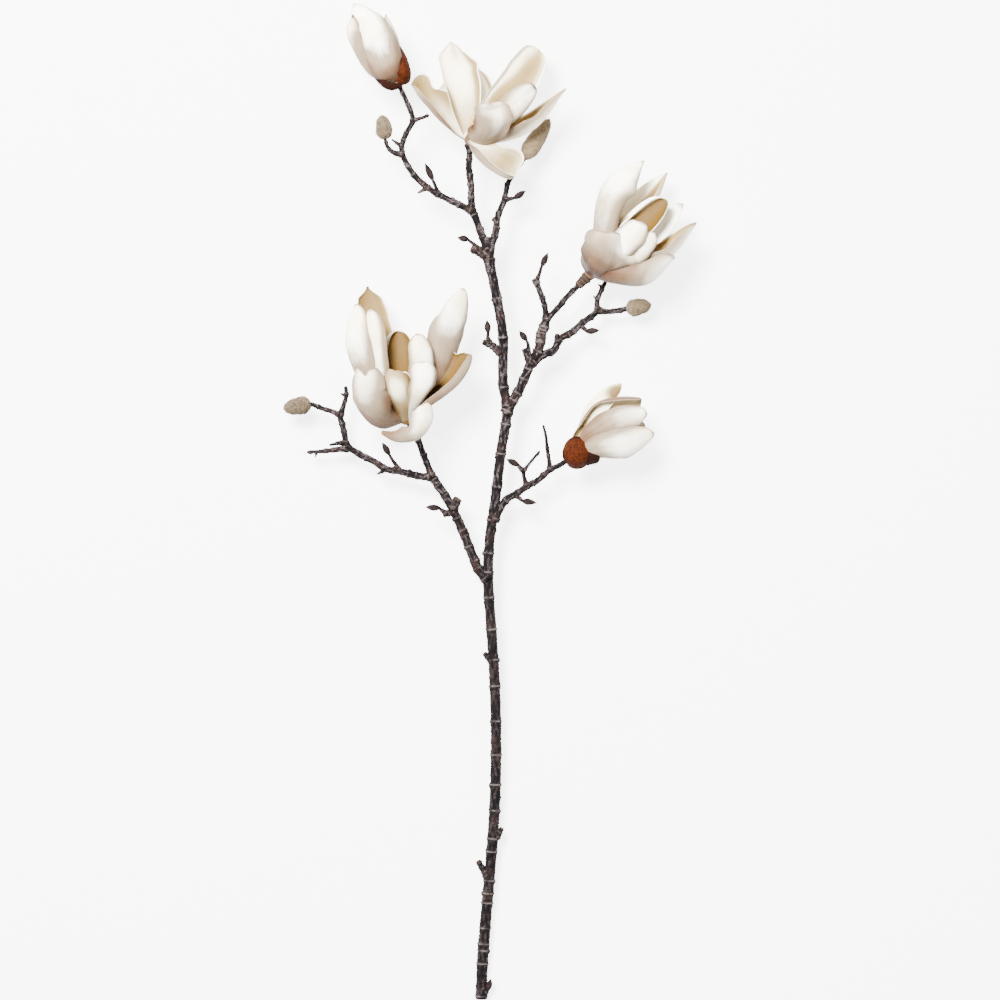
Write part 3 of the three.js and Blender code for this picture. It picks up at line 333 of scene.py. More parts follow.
LOWER_BUD = flower(
    (86, 50, 40), (0.86, 0.47, 0.1),
    # upper
    blade([(6, 23, -4), (15, 44, -4), (30, 60, -3), (46, 68, -1)], (0.6, -0.6, -0.5), 36, 62, rolls=(0, 10),
        warm=0.12, glow=[(0.88, -0.6, 0.12, 0.55, 1.2)], stain=0.95, blush=0.3),
    # back
    blade([(12, 23, 0), (31, 42, 0), (66, 49, -2)], (-0.3, -0.5, 0.75), 37, 62, point=0.42, square=4,
        rolls=(40, 0), rim=[(-0.5, 0.2, 3), (0.3, 0.2, -2)], warm=0.38, blush=0.4,
        flush=[(0.5, -0.9, 1, 0.5, 0.6)], tip=0.5),
    # middle
    blade([(17, 17, 18), (40, 29, 26), (71, 37, 14)], (0.1, 0.2, -1), 33, 66, point=0.45, square=3.5,
        rim=[(0.5, 0.3, 3), (-0.4, 0.3, -2)], dent=[(0.5, 0.2, 0.4, 0.12, 1.0)], blush=0.9,
        flush=[(0.4, 0, 0.3, 1, 0.28), (0.7, 0, 0.3, 1, 0.2)], tip=0.5),
    # lower
    blade([(23, 2, 20), (48, 4, 28), (78, 18, 12)], (-0.1, 0.4, -0.9), 43, 70, point=0.5,
        edge=[(1, 0.3, 0.2, 2)], dent=[(0.5, 0.1, 0.4, 0.12, 1.0)], blush=0.6,
        flush=[(0.6, 0, 0.5, 1.5, 0.12), (0.3, -0.8, 0.3, 0.4, 0.2)], tip=0.8),
    # under
    blade([(20, 6, -14), (44, 16, -20), (70, 28, -12)], (0, 0, 1), 44, 65),
    scales=[
        blade([(1, -9, 15), (0.5, 1, 18), (1, 14.5, 12)], (0.1, 0, -1), 31, 50, foot=(2, -16, 6), claw=0.7,
            wide=0.5, point=0.3, square=3.2, edge=[(-1, 0.45, 0.08, 0.8), (1, 0.3, 0.1, 0.8),
            (-1, 0.75, 0.08, 0.6)]),
        blade([(12, -9, 10), (18, -7, 14), (24, -5, 16)], (0, 0.6, -0.8), 19, 50, foot=(3, -11, 4),
            claw=0.8, point=0.9, dark=0.8),
    ],
)
# A bud's painted_light whitens its down as painted light, most on the top right bud, which lies in the top
# bloom's shade.
DOWNY_BUDS = {
    "top_left": dict(foot=(-103.3, 361.5, 56.5), tip=(-106.5, 385, 57.5), radius=8.6),
    "top_right": dict(foot=(35, 344, 31), tip=(60.5, 384, 30), radius=9.6, painted_light=0.5),
    "right": dict(foot=(137.8, 193.7, 24), tip=(162.5, 198, 25), radius=9, painted_light=0.35),
    "left": dict(foot=(-178.8, 98.6, 30), tip=(-206, 93.5, 29), radius=9.4),
}

OPEN_BLOOMS = {"top_bloom": TOP_BLOOM, "left_bloom": LEFT_BLOOM, "right_bloom": RIGHT_BLOOM}
HALF_OPEN_BUDS = {"top_bud": TOP_BUD, "lower_bud": LOWER_BUD}

# Round bodies: the profile is (share of the length, radius), and on a winter bud the radius is
# a share too. Each has the sides and rows of its mesh, and the height of its lumps.
RECEPTACLE = dict(profile=((0, 3.2), (0.15, 5.4), (0.4, 6.6), (0.7, 5.6), (1, 3)), sides=24, rows=16)
CONE = dict(profile=((0, 2.4), (0.2, 2.7), (0.6, 1.9), (0.9, 0.9), (1, 0.2)), sides=18, rows=26,
            wobble=0.05)
LEAF_BUD = dict(profile=((0, 1.1), (0.06, 1.5), (0.2, 2.6), (0.42, 3.3), (0.65, 2.7), (0.85, 1.2),
                         (1, 0.12)), sides=20, rows=30, wobble=0.03)
WINTER_BUD = dict(sides=40, rows=48, wobble=0.035)
WINTER_BUD_PROFILE = (
    (0, 0.3), (0.04, 0.5), (0.12, 0.78), (0.3, 1), (0.5, 0.95), (0.72, 0.81), (0.9, 0.52), (1, 0.08),
)
LUMPS = (12, 3, 14, 4)  # count, shortest, longest and turns of the waves
DRUM_REACH = (-6.5, 6)  # along the bloom's axis, from the seat
CONE_REACH = (5.5, 26)
LEAF_BUD_SINK = 1.5
SEAM_WIDTH, SEAM_DEPTH, SEAM_TWIST = 0.18, 0.1, 3.2

# Bark: widening at the foot, strength of the ring scars, whether the end is cut, and how far
# the whole shoot has the colour of cut wood.
STEM_BARK = dict(flare=0.0, scarred=1.0, cut=True, brown=0)
BOUGH_BARK = dict(flare=0.34, scarred=0.45, cut=False, brown=0)
STUB_BARK = dict(flare=0.25, scarred=0.35, cut=True, brown=0)
TWIG_BARK = dict(flare=0.3, scarred=0.4, cut=False, brown=0, radii=(2.1, 1.5))
TWIG_RINGS = np.array([3.0, 7.0])
BOUGH_SPACING = (3.5, 5.5, 17)  # first ring scar, shortest step, longest step
STUB_SPACING = (2.5, 3.5, 6)
TUBE_SIDES = ((1.2, 2, 3, 4.5), (10, 14, 20, 26))  # radius of a shoot, sides of its mesh
RIDGE, GROOVE, SWELLING, KNOB, WART = 0.6, 0.7, 3.2, 1.7, 1.15  # spreads along a shoot
FLARE, RED_FOOT = 6, 9  # how far a shoot's foot is widened and reddened
KNOB_TURN, WART_TURN = 0.22, 0.16  # spreads round a shoot
KNOB_LAG, GROOVE_LAG = 1.2, 1.5  # how far below and above its ring each one lies
SWELLING_RISE = 0.09
WART_SPACING = 4.2
BLUNT_TIP = 0.35  # share of the radius that is left at an uncut tip
ROUGH, BROAD, CRUST, RED = (26, 1.6, 6, 5), (10, 9, 40, 2), (22, 7, 90, 8), (8, 20, 90, 1)

# Tepals: (height, waves) along the edge, waves across, and (waves along, across) of the swell.
RIPPLES = ((0.6, 7.0), (0.35, 13.0), (0.22, 24.0), (0.12, 41.0))
VEINS = (23.0, 41.0)
SWELLS = ((4.5, 2.0), (8.0, -3.1), (3.0, 4.4))
EDGE_LAG = 1.7  # keeps the two edges from rippling alike
SEAT_RADIUS = 5
TIP_LENGTH, TIP_WIDTH = 0.5, 0.06
TEPAL_CROWDING, SCALE_CROWDING, EDGE_CROWDING = 1.5, 1.3, 1.45  # finer mesh at tip and edges
SCALE_ROWS, SCALE_COLUMNS = 40, 28
SCALE_MARGIN, SCALE_RISE = 0.5, 1.1  # wall at the edge, and what the midrib adds
SCALE_RIDGES = ((0.14, 19, 2), (0.12, 33, -3))  # height, waves across, waves along

HAIR_SINK, HAIR_STRAY = 0.15, 0.16
HAIR_LEAN = (0.35, 0.8)
SCALE_HAIR, BUD_HAIR = dict(lengths=(0.7, 1.5), width=0.13), dict(lengths=(1.1, 2.4), width=0.17)
COAT_DEPTH = 0.7
STAMEN_FOOT, STAMEN_CLIMB = 6, 13 / 60  # height of the lowest, and what each adds
STAMEN_TIER = 12  # above this height they stand closer and shorter
LOW_STAMEN, HIGH_STAMEN = (1.6, 6.5), (0.8, 4.0)  # distance from the axis, length
STAMEN_RADIUS, STAMEN_SIDES = 0.55, 6
SPLINE_STEPS = 400

# ---------------- curves


def catmull(points, t):
    """Centripetal Catmull-Rom spline through the points, at parameters t from 0 to 1.

    Between two points p1 and p2 the position is the cubic whose ends are p1 and p2 and whose
    end slopes come from the neighbours, each weighted by the square root of its distance.
    Returns the positions and the unit tangents."""
    p = np.asarray(points, float)
    p = np.vstack([2 * p[0] - p[1], p, 2 * p[-1] - p[-2]])
    last = len(p) - 3
    at = np.clip(np.asarray(t, float), 0, 1) * last
    i = np.minimum(at.astype(int), last - 1)
    x = (at - i)[..., None]
    p0, p1, p2, p3 = p[i], p[i + 1], p[i + 2], p[i + 3]
    gap = np.sqrt(np.linalg.norm(np.diff(p, axis=0), axis=1))[:, None]
    d0, d1, d2 = gap[i], gap[i + 1], gap[i + 2]
    s1 = ((p1 - p0) / d0 - (p2 - p0) / (d0 + d1) + (p2 - p1) / d1) * d1
    s2 = ((p2 - p1) / d1 - (p3 - p1) / (d1 + d2) + (p3 - p2) / d2) * d1
    c2, c3 = 3 * (p2 - p1) - 2 * s1 - s2, 2 * (p1 - p2) + s1 + s2
    place = p1 + x * (s1 + x * (c2 + x * c3))
    slope = s1 + x * (2 * c2 + 3 * x * c3)
    return place, unit(slope)


def unit(v):
    """Vectors scaled to length one."""
    v = np.asarray(v, float)
    return v / np.maximum(np.linalg.norm(v, axis=-1, keepdims=True), 1e-9)


def by_length(points, step):
    """The spline at even distances: the distances, the positions and the unit tangents."""
    t = np.linspace(0, 1, SPLINE_STEPS * (len(points) - 1))
    place, _ = catmull(points, t)
    run = np.r_[0, np.cumsum(np.linalg.norm(np.diff(place, axis=0), axis=1))]
    s = np.linspace(0, run[-1], max(4, int(run[-1] / step)))
    place, along = catmull(points, np.interp(s, run, t))
    return s, place, along


def bell(x, width):
    """A smooth bump of height one at zero."""
    return np.exp(-((x / width) ** 2))


def ease(x, start, end):
    """Rises smoothly from zero at start to one at end."""
    y = np.clip((x - start) / (end - start), 0, 1)
    return y * y * (3 - 2 * y)


def wheel(sides):
    """Even angles round a circle, as one row."""
    return (np.arange(sides) / sides * tau)[None, :]


def spokes(angle, first, second):
    """Unit vectors at an angle from the first direction toward the second."""
    return np.cos(angle)[..., None] * first + np.sin(angle)[..., None] * second


def mm(name):
    """A size from the settings, in millimetres."""
    return getattr(bpy.context.scene.magnolia_sizes, name) * 1000


# ---------------- meshes


def skin(rings, marks, tip=None):
    """Closes an array of rings (count, sides, 3) into one outward-facing body.

    Neighbouring rings are joined by quads, and each end ring to its own pole by triangles. A
    mark is a value, or one for each point of the rings; a pole takes the mean of its ring.
    Returns the vertices, the blocks of faces and the marks of every vertex."""
    count, sides, _ = rings.shape
    tip = rings[-1].mean(0) if tip is None else tip
    i, j = np.meshgrid(np.arange(count - 1), np.arange(sides), indexing="ij")
    k = (j + 1) % sides
    quads = np.stack([i * sides + j, i * sides + k, (i + 1) * sides + k, (i + 1) * sides + j], -1)
    a, b = np.arange(sides), (np.arange(sides) + 1) % sides
    low, high, top = count * sides, count * sides + 1, (count - 1) * sides
    near = np.stack([np.full(sides, low), b, a], -1)
    far = np.stack([np.full(sides, high), top + a, top + b], -1)
    spread = {}
    for name, value in marks.items():
        field = value + 0 * rings[..., 0]
        spread[name] = np.r_[field.ravel(), field[0].mean(), field[-1].mean()]
    verts = np.vstack([rings.reshape(-1, 3), rings[0].mean(0), tip])
    return verts, [quads.reshape(-1, 4), near, far], spread


def gather(parts):
    """Several bodies as one mesh: vertices stacked, face numbers shifted, marks stacked."""
    verts, faces, marks = [], [], {name: [] for name in parts[0][2]}
    first = 0
    for points, blocks, values in parts:
        verts.append(points)
        for block in blocks:
            faces += (block + first).tolist()
        for name, value in values.items():
            marks[name].append(value)
        first += len(points)
    return np.vstack(verts), faces, {name: np.concatenate(v) for name, v in marks.items()}


def mesh_object(name, parts, material):
    """A mesh object at the origin, in metres, with its marks as attributes on the vertices."""
    verts, faces, marks = gather(parts)
    verts = verts - ORIGIN
    verts[:, 2] = np.maximum(verts[:, 2], 0)
    mesh = bpy.data.meshes.new(name)
    mesh.from_pydata((verts * 0.001).tolist(), [], faces)
    for mark, values in marks.items():
        layer = mesh.attributes.new(mark, "FLOAT", "POINT")
        layer.data.foreach_set("value", values.astype(np.float32))
    mesh.polygons.foreach_set("use_smooth", np.ones(len(mesh.polygons), bool))
    mesh.materials.append(material)
    mesh.update()
    made = bpy.data.objects.new(name, mesh)
    bpy.context.scene.collection.objects.link(made)
    return made


def finish_piece(piece, slot, *nodes):
    """Hands a piece to the frame: its body, a material slot that is not used, and the solids it stands for,
    which it hides.
    """
    if nodes:
        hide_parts(*nodes)
    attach(piece, "root")


# ---------------- wood


def ring_places(length, start, shortest, longest):
    """Distances of ring scars, each step a golden share between the shortest and longest."""
    places, at, k = [], start, 1
    while at < length - 2:
        places.append(at)
        at += shortest + (longest - shortest) * ((k * GOLDEN) % 1)
        k += 1
    return np.array(places)


def waves(s, angle, rng, count, shortest, longest, turns):
    """Uneven relief: a sum of cosine waves that run along the shoot and wind round it.

    Each wave has a random length between the shortest and longest, a whole number of turns
    up to `turns` and a random phase. The sum is scaled to about one."""
    length = np.exp(rng.uniform(np.log(shortest), np.log(longest), count))
    wind = rng.integers(-turns, turns + 1, count)
    phase = rng.uniform(0, tau, count)
    total = np.zeros(np.broadcast(s, angle).shape)
    for k in range(count):
        total += np.cos(tau * s / length[k] + wind[k] * angle + phase[k])
    return total / np.sqrt(count)


def bark_tube(shoot, rings, seed):
    """A shoot with its bark: a round tube along the spline, whose radius tapers from foot to
    tip and carries a raised ring and a soft swelling at each scar, a knob beside it, random
    warts between, and uneven waves for the bark. Marks: scar, crust, red and cut."""
    foot_radius, tip_radius = shoot["radii"]
    flare, cut = shoot["flare"], shoot["cut"]
    rng = np.random.default_rng(seed)
    s, place, along = by_length(shoot["route"], mm("bark_step"))
    angle = wheel(int(np.interp(max(shoot["radii"]), *TUBE_SIDES)))
    up = unit(np.array([0, 0, 1.0]) - along * along[:, 2:3])
    side = np.cross(along, up)
    s = s[:, None]
    length = s[-1, 0]
    radius = foot_radius + (tip_radius - foot_radius) * s / length
    size = np.sqrt(radius / 5)
    d = s[..., None] - rings
    turn = angle[..., None] - np.arange(len(rings)) * GOLDEN * tau
    ridge = bell(d, RIDGE).sum(-1)
    knob = (bell(d + KNOB_LAG, KNOB) * np.exp((np.cos(turn) - 1) / KNOB_TURN)).sum(-1)
    swell = bell(d, SWELLING).sum(-1)
    groove = bell(d - GROOVE_LAG, GROOVE).sum(-1)
    count = int(length / WART_SPACING)
    at, round_at = rng.uniform(0, length, count), rng.uniform(0, tau, count)
    height = rng.uniform(0.35, 1, count)
    wart = bell(s[..., None] - at, WART) * np.exp((np.cos(angle[..., None] - round_at) - 1) / WART_TURN)
    wart = (wart * height**2).sum(-1)
    rough, broad = waves(s, angle, rng, *ROUGH), waves(s, angle, rng, *BROAD)
    bulk = radius * (1 + flare * bell(s, FLARE) + SWELLING_RISE * swell)
    bulk = bulk + size * (mm("ring_height") * ridge - 0.5 * mm("ring_height") * groove)
    bulk = bulk + size * mm("knob_height") * (knob + wart)
    bulk = bulk + size * mm("bark_relief") * (rough + 0.9 * broad)
    if not cut:
        bulk = bulk * (BLUNT_TIP + (1 - BLUNT_TIP) * ease(length - s, -1.2, 1.6))
    partial = np.clip(0.75 + 0.6 * np.cos(2 * angle + 2.5 * broad), 0, 1)
    marks = {
        "scar": shoot["scarred"] * np.clip(ridge * partial, 0, 1),
        "crust": 0.5 + 0.32 * waves(s, angle, rng, *CRUST),
        "red": np.clip(0.25 * swell + 0.5 * waves(s, angle, rng, *RED) - 0.15
                       + 1.2 * flare * bell(s, RED_FOOT), 0, 1),
        "cut": np.maximum(shoot["brown"], ease(s, length - 0.6, length - 0.1) * float(cut)),
    }
    spoke = spokes(angle, up[:, None], side[:, None])
    return skin(place[:, None] + spoke * bulk[..., None], marks)


def wood_parts():
    """Every shoot, stub and leaf bud twig as a closed tube."""
    stem, *boughs = SHOOTS
    s, place, _ = by_length(stem["route"], 1)
    parts = [bark_tube(STEM_BARK | stem, np.interp(STEM_RINGS, place[:, 1], s), 0)]
    for n, bough in enumerate(boughs, 1):
        length = by_length(bough["route"], 1)[0][-1]
        rings = np.r_[ring_places(length, *BOUGH_SPACING), bough.get("ringed", ())]
        parts.append(bark_tube(BOUGH_BARK | bough, rings, n))
    for n, stub in enumerate(STUBS, 50):
        length = by_length(stub["route"], 1)[0][-1]
        rings = np.array(stub.get("rings", ring_places(length, *STUB_SPACING)))
        parts.append(bark_tube(STUB_BARK | stub, rings, n))
    for n, bud in enumerate(LEAF_BUDS, 80):
        parts.append(bark_tube(TWIG_BARK | dict(route=bud["twig"]), TWIG_RINGS, n))
    return parts


def union(base, others, name):
    """One clean body from a closed base and closed others, by a Boolean union."""
    group = bpy.data.collections.new(name)
    bpy.context.scene.collection.children.link(group)
    for other in others:
        bpy.context.scene.collection.objects.unlink(other)
        group.objects.link(other)
    joined = base.modifiers.new("union", "BOOLEAN")
    joined.operation, joined.solver = "UNION", "MANIFOLD"
    joined.operand_type, joined.collection = "COLLECTION", group
    graph = bpy.context.evaluated_depsgraph_get()
    whole = bpy.data.meshes.new_from_object(base.evaluated_get(graph))
    base.modifiers.clear()
    base.data = whole
    base.name = base.data.name = name
    for other in others:
        bpy.data.objects.remove(other)
    bpy.data.collections.remove(group)
    return base


# ---------------- tepals


def outline(t, tepal):
    """Width of a tepal along its length, as a share of the greatest: a sine rise from the
    claw to the widest place, then a power curve that falls to the tip. A higher `square`
    makes a blunter tip."""
    claw, wide = tepal["claw"], tepal["wide"]
    rise = claw + (1 - claw) * np.sin(pi / 2 * np.minimum(t / wide, 1))
    past = np.clip((t - wide) / (1 - wide), 0, 1)
    fall = np.maximum(TIP_WIDTH, (1 - past ** tepal["square"]) ** tepal["point"])
    return np.where(t < wide, rise, fall)


def stand(bloom):
    """Where a bloom sits and the way in which it points."""
    return np.array(bloom["seat"], float), unit(bloom["axis"])


def root_of(bloom, toward):
    """A tepal's root: on a ring round the bloom's axis, on the side that the tepal leans to."""
    _, axis = stand(bloom)
    aside = np.array(toward, float)
    return unit(aside - axis * aside.dot(axis)) * SEAT_RADIUS


def patches(spots, t, v):
    """A sum of soft round patches (t, v, spread along, spread across, amount)."""
    total = np.zeros_like(t)
    for at, off, long, wide, amount in spots:
        total += amount * bell(t - at, long) * bell(v - off, wide)
    return total


def run_from_middle(slope, v):
    """The running sum of the slope across a blade, by trapezoids, zero at the midrib."""
    steps = (slope[:, 1:] + slope[:, :-1]) / 2 * np.diff(v, axis=1)
    run = np.hstack([0 * v[:, :1], np.cumsum(steps, axis=1)])
    middle = v.shape[1] // 2
    return run - run[:, middle:middle + 1]


def tepal_surface(bloom, tepal, t, v):
    """A tepal's inner face at t along it and v from -1 to 1 across it.

    The midrib is a spline. It starts on the seat or at `foot`, and the face looks one way all
    along it, or toward the point `centre`. Across, the section is a curve whose slope grows
    evenly from the midrib to `cup` degrees, and rolls further by `rolls` degrees near its two
    margins. Each `edge` (side, t, spread, out) moves a margin sideways in a bell, each `rim`
    (place across, spread, rise) the tip's edge lengthwise, and each `dent` the face itself. The
    tip leans back by `curl` and sideways by `hook`. Returns the points."""
    seat, _ = stand(bloom)
    foot = tepal["foot"] or root_of(bloom, tepal["rib"][0])
    place, along = catmull(np.array([foot, *tepal["rib"]], float) + seat, t)
    if tepal["centre"]:
        face = unit(np.array(tepal["centre"], float) + seat - place)
    else:
        face = np.array(tepal["face"], float) + 0 * place
    inward = unit(face - along * (along * face).sum(-1, keepdims=True))
    across = np.cross(along, inward)
    half = tepal["width"] / 2 * outline(t, tepal)
    rolls = np.radians(np.array(tepal["rolls"], float))
    roll = np.where(v < 0, -rolls[0], rolls[1]) * ease(np.abs(v), 0.5, 1) * ease(t, 0.1, 0.4)
    slope = v * radians(tepal["cup"]) + roll
    sidewise = half * run_from_middle(np.cos(slope), v)
    depth = half * run_from_middle(np.sin(slope), v)
    flare = 0.4 * slope
    for side, at, spread, out in tepal["edge"]:
        push = side * out * bell(t - at, spread) * np.clip(side * v, 0, 1) ** 2
        sidewise, depth = sidewise + push * np.cos(flare), depth + push * np.sin(flare)
    bend = ease(t, 0.7, 1.0) ** 2
    depth = depth + patches(tepal["dent"], t, v) - tepal["curl"] * bend
    sidewise = sidewise + tepal["hook"] * bend
    reach = sidewise / np.abs(sidewise).max()
    ahead = sum(rise * bell(reach - at, spread) for at, spread, rise in tepal["rim"])
    place = place + across * sidewise[..., None] + inward * depth[..., None]
    return place + along * (ahead * ease(t, 0.6, 0.9) + 0 * t)[..., None]


def blade_face(bloom, shape, rows, columns, crowding):
    """A blade's inner face on a grid that is finer toward its tip and edges: the grid's t and
    v, the points and the unit normals toward the outer face."""
    t = 1 - (1 - np.arange(rows + 1) / rows) ** crowding
    v = np.sin(np.linspace(-1, 1, columns + 1) * EDGE_CROWDING) / np.sin(EDGE_CROWDING)
    t, v = np.meshgrid(t, v, indexing="ij")
    place = tepal_surface(bloom, shape, t, v)
    out = unit(np.cross(np.gradient(place, axis=0), np.gradient(place, axis=1)))
    return t, v, place, out


def blade_rings(front, rear, wall):
    """The section as a loop: the inner face from edge to edge, a round rim, the outer face
    back again and the other rim. A rim stands half a wall beyond its edge."""
    side, mid = unit(np.gradient(front, axis=1)), (front + rear) / 2
    far = mid[:, -1:] + side[:, -1:] * wall[:, -1:, None] * 0.5
    near = mid[:, :1] - side[:, :1] * wall[:, :1, None] * 0.5
    return np.concatenate([front, far, rear[:, ::-1], near], axis=1)


def loop(field):
    """A value on a blade's grid, carried round the loop of its section."""
    return np.concatenate([field, field[:, -1:], field[:, ::-1], field[:, :1]], axis=1)


def tepal_blade(bloom, tepal, seed):
    """A tepal as one closed body. The wall is thick along the midrib and thin at the margin,
    and both faces carry the same fine veins and soft ripples. Marks: along, across, inner,
    warm, blush, flush and tip. Warm carries the glow patches,
    and the two blush marks carry painted shade as well as real blush."""
    sizes = bpy.context.scene.magnolia_sizes
    grid = sizes.tepal_rows, sizes.tepal_columns, TEPAL_CROWDING
    t, v, place, out = blade_face(bloom, tepal, *grid)
    phase = iter(np.random.default_rng(seed).uniform(0, tau, len(RIPPLES + VEINS + SWELLS)))
    swing = np.sin(pi * np.clip(t, 0.02, 1)) ** 0.5
    ripple = sum(a * np.sin(f * t + EDGE_LAG * np.sign(v) + next(phase)) for a, f in RIPPLES)
    lift = mm("ripple") * np.abs(v) ** 3 * swing * ripple
    veins = sum(np.cos(f * v + next(phase)) for f in VEINS)
    lift = lift + mm("vein_depth") * veins * swing * (1 - v**4)
    swell = sum(np.cos(f * t + g * v + next(phase)) for f, g in SWELLS)
    lift = lift + mm("swell") * swing * swell
    front = place + out * lift[..., None]
    thick, margin = mm("tepal_thickness"), mm("margin_thickness")
    wall = margin + (thick - margin) * (1 - v**2)
    wall = wall * (0.75 + 0.25 * ease(1 - t, 0, 0.15))
    rear = front + out * wall[..., None]
    rings = blade_rings(front, rear, wall)
    last, end = (front + rear)[-2:].mean(1)
    half = np.full_like(t[:, :1], 0.5)
    marks = {
        "along": loop(t),
        "across": loop(v),
        "inner": np.concatenate([np.ones_like(t), half, np.full_like(t, tepal["stain"]), half], 1),
        "warm": loop(tepal["warm"] + patches(tepal["glow"], t, v)),
        "blush": tepal["blush"],
        "flush": loop(patches(tepal["flush"], t, v)),
        "tip": tepal["tip"],
    }
    return skin(rings, marks, tip=rings[-1].mean(0) + unit(end - last) * TIP_LENGTH)


def spindle(foot, tip, profile, sides, rows, wobble=0.0, seed=0):
    """A body of revolution from foot to tip. Its radius is a smooth curve through the profile,
    with uneven waves of the given height. Returns the rings and the share of the length."""
    foot, tip = np.array(foot, float), np.array(tip, float)
    along = unit(tip - foot)
    aslant = np.array([0.31, 0.17, 1.0])
    up = unit(aslant - along * along.dot(aslant))
    share = ((1 - np.cos(np.linspace(0, pi, rows))) / 2)[:, None]
    curve, _ = catmull([(a, b, 0) for a, b in profile], np.linspace(0, 1, SPLINE_STEPS))
    radius = np.maximum(np.interp(share, curve[:, 0], curve[:, 1]), 0.02)
    angle = wheel(sides)
    length = np.linalg.norm(tip - foot)
    rng = np.random.default_rng(seed)
    radius = radius * (1 + wobble * waves(share * length, angle, rng, *LUMPS))
    spoke = spokes(angle, up, np.cross(along, up))
    rings = foot + along * (share[..., None] * length) + spoke * radius[..., None]
    return rings, share + 0 * angle


def bloom_parts(bloom, seed):
    """The tepals of a bloom on their receptacle, which is a short drum."""
    seat, axis = stand(bloom)
    drum, _ = spindle(*(seat + axis * reach for reach in DRUM_REACH), **RECEPTACLE)
    # Unless the seat is ochre, the drum takes the darkest step of the outside's blush and painted shade.
    marks = dict(along=1, across=0, inner=bloom.get("ochre_seat", 0), warm=1, blush=0, flush=2, tip=0)
    blades = [tepal_blade(bloom, t, seed + k) for k, t in enumerate(bloom["tepals"])]
    return blades + [skin(drum, marks)]


def scale_parts(bud, shape, seed):
    """A bud scale: a thick blade with ridges along it, and its hairs."""
    rng = np.random.default_rng(seed)
    t, v, place, out = blade_face(bud, shape, SCALE_ROWS, SCALE_COLUMNS, SCALE_CROWDING)
    phase = rng.uniform(0, tau, 3)
    relief = sum(a * np.cos(f * v + g * t + p) for (a, f, g), p in zip(SCALE_RIDGES, phase))
    relief = relief * (1 - v**4) * np.sin(pi * np.clip(t, 0.05, 0.95))
    wall = SCALE_MARGIN + SCALE_RISE * (1 - v**2)
    rear = place + out * (wall + relief)[..., None]
    marks = dict(along=loop(t), across=loop(v), hair=0, dark=shape["dark"])
    body = skin(blade_rings(place, rear, wall), marks)
    count = bpy.context.scene.magnolia_sizes.scale_hairs
    at = rng.integers(2, SCALE_ROWS - 1, count), rng.integers(0, SCALE_COLUMNS + 1, count)
    lie = unit(np.gradient(place, axis=0))[at]
    marks = dict(along=t[at], across=v[at], dark=shape["dark"])
    return [body, hairs(rear[at], out[at], lie, rng, marks, **SCALE_HAIR)]


def hairs(roots, normals, lie, rng, marks, lengths, width):
    """Short hairs: three-sided spikes whose feet are sunk in the surface, and whose points
    lean from the normal toward the direction in which they lie."""
    n = len(roots)
    lean = normals * rng.uniform(*HAIR_LEAN, (n, 1)) + lie + rng.normal(0, HAIR_STRAY, (n, 3))
    lean = unit(lean)
    length = rng.uniform(*lengths, (n, 1))
    across = unit(np.cross(lean, normals))[:, None]
    other = np.cross(lean, across[:, 0])[:, None]
    foot = roots - normals * HAIR_SINK
    corner = np.array([[1, 0], [-0.5, 0.87], [-0.5, -0.87]]) * width
    base = foot[:, None] + corner[None, :, :1] * across + corner[None, :, 1:] * other
    verts = np.concatenate([base, (foot + lean * length)[:, None]], axis=1).reshape(-1, 3)
    spike = np.array([[0, 2, 1], [0, 1, 3], [1, 2, 3], [2, 0, 3]])
    faces = (np.arange(n)[:, None, None] * 4 + spike).reshape(-1, 3)
    marks = {name: np.repeat(value + np.zeros(n), 4) for name, value in marks.items()}
    marks["hair"] = np.tile([0.15, 0.15, 0.15, 1.0], n)
    return verts, [faces], marks


def downy_parts(bud, seed):
    """A winter bud: a lumpy spindle covered in hairs that lie toward its tip."""
    rng = np.random.default_rng(seed)
    profile = [(s, r * (bud["radius"] - COAT_DEPTH)) for s, r in WINTER_BUD_PROFILE]
    rings, share = spindle(bud["foot"], bud["tip"], profile, **WINTER_BUD, seed=seed)
    # Painted light: a whitening of the down for a bud that lies in shade.
    painted_light = bud.get("painted_light", 0)
    body = skin(rings, dict(along=share, hair=0, painted_light=painted_light))
    along = unit(np.array(bud["tip"], float) - np.array(bud["foot"], float))
    spoke = rings - rings.mean(1, keepdims=True)
    weight = np.linalg.norm(spoke, axis=-1) * np.gradient(share, axis=0)
    count = bpy.context.scene.magnolia_sizes.bud_hairs
    pick = rng.choice(weight.size, count, p=(weight / weight.sum()).ravel())
    a, b = np.unravel_index(pick, weight.shape)
    a = np.clip(a, 1, len(rings) - 2)
    mix = rng.uniform(0, 1, (len(a), 1))
    roots = rings[a, b] * mix + rings[a - 1, (b + 1) % rings.shape[1]] * (1 - mix)
    lie = unit(rings[a + 1, b] - rings[a - 1, b])
    normals = unit(np.cross(np.cross(along, unit(spoke[a, b])), lie))
    marks = dict(along=share[a, b], painted_light=painted_light)
    return [body, hairs(roots, normals, lie, rng, marks, **BUD_HAIR)]


def leaf_bud_part(bud, seed):
    """A leaf bud: a pointed spindle, with a spiral seam where its scale wraps over itself."""
    foot, tip = np.array(bud["twig"][-1], float), np.array(bud["tip"], float)
    foot = foot - unit(tip - foot) * LEAF_BUD_SINK
    rings, share = spindle(foot, tip, **LEAF_BUD, seed=seed)
    centre = rings.mean(1, keepdims=True)
    angle = wheel(LEAF_BUD["sides"])
    seam = bell(np.sin((angle - SEAM_TWIST * share - seed) / 2), SEAM_WIDTH)
    rings = centre + (rings - centre) * (1 - SEAM_DEPTH * seam * np.sin(pi * share))[..., None]
    return skin(rings, dict(along=share, seam=seam))


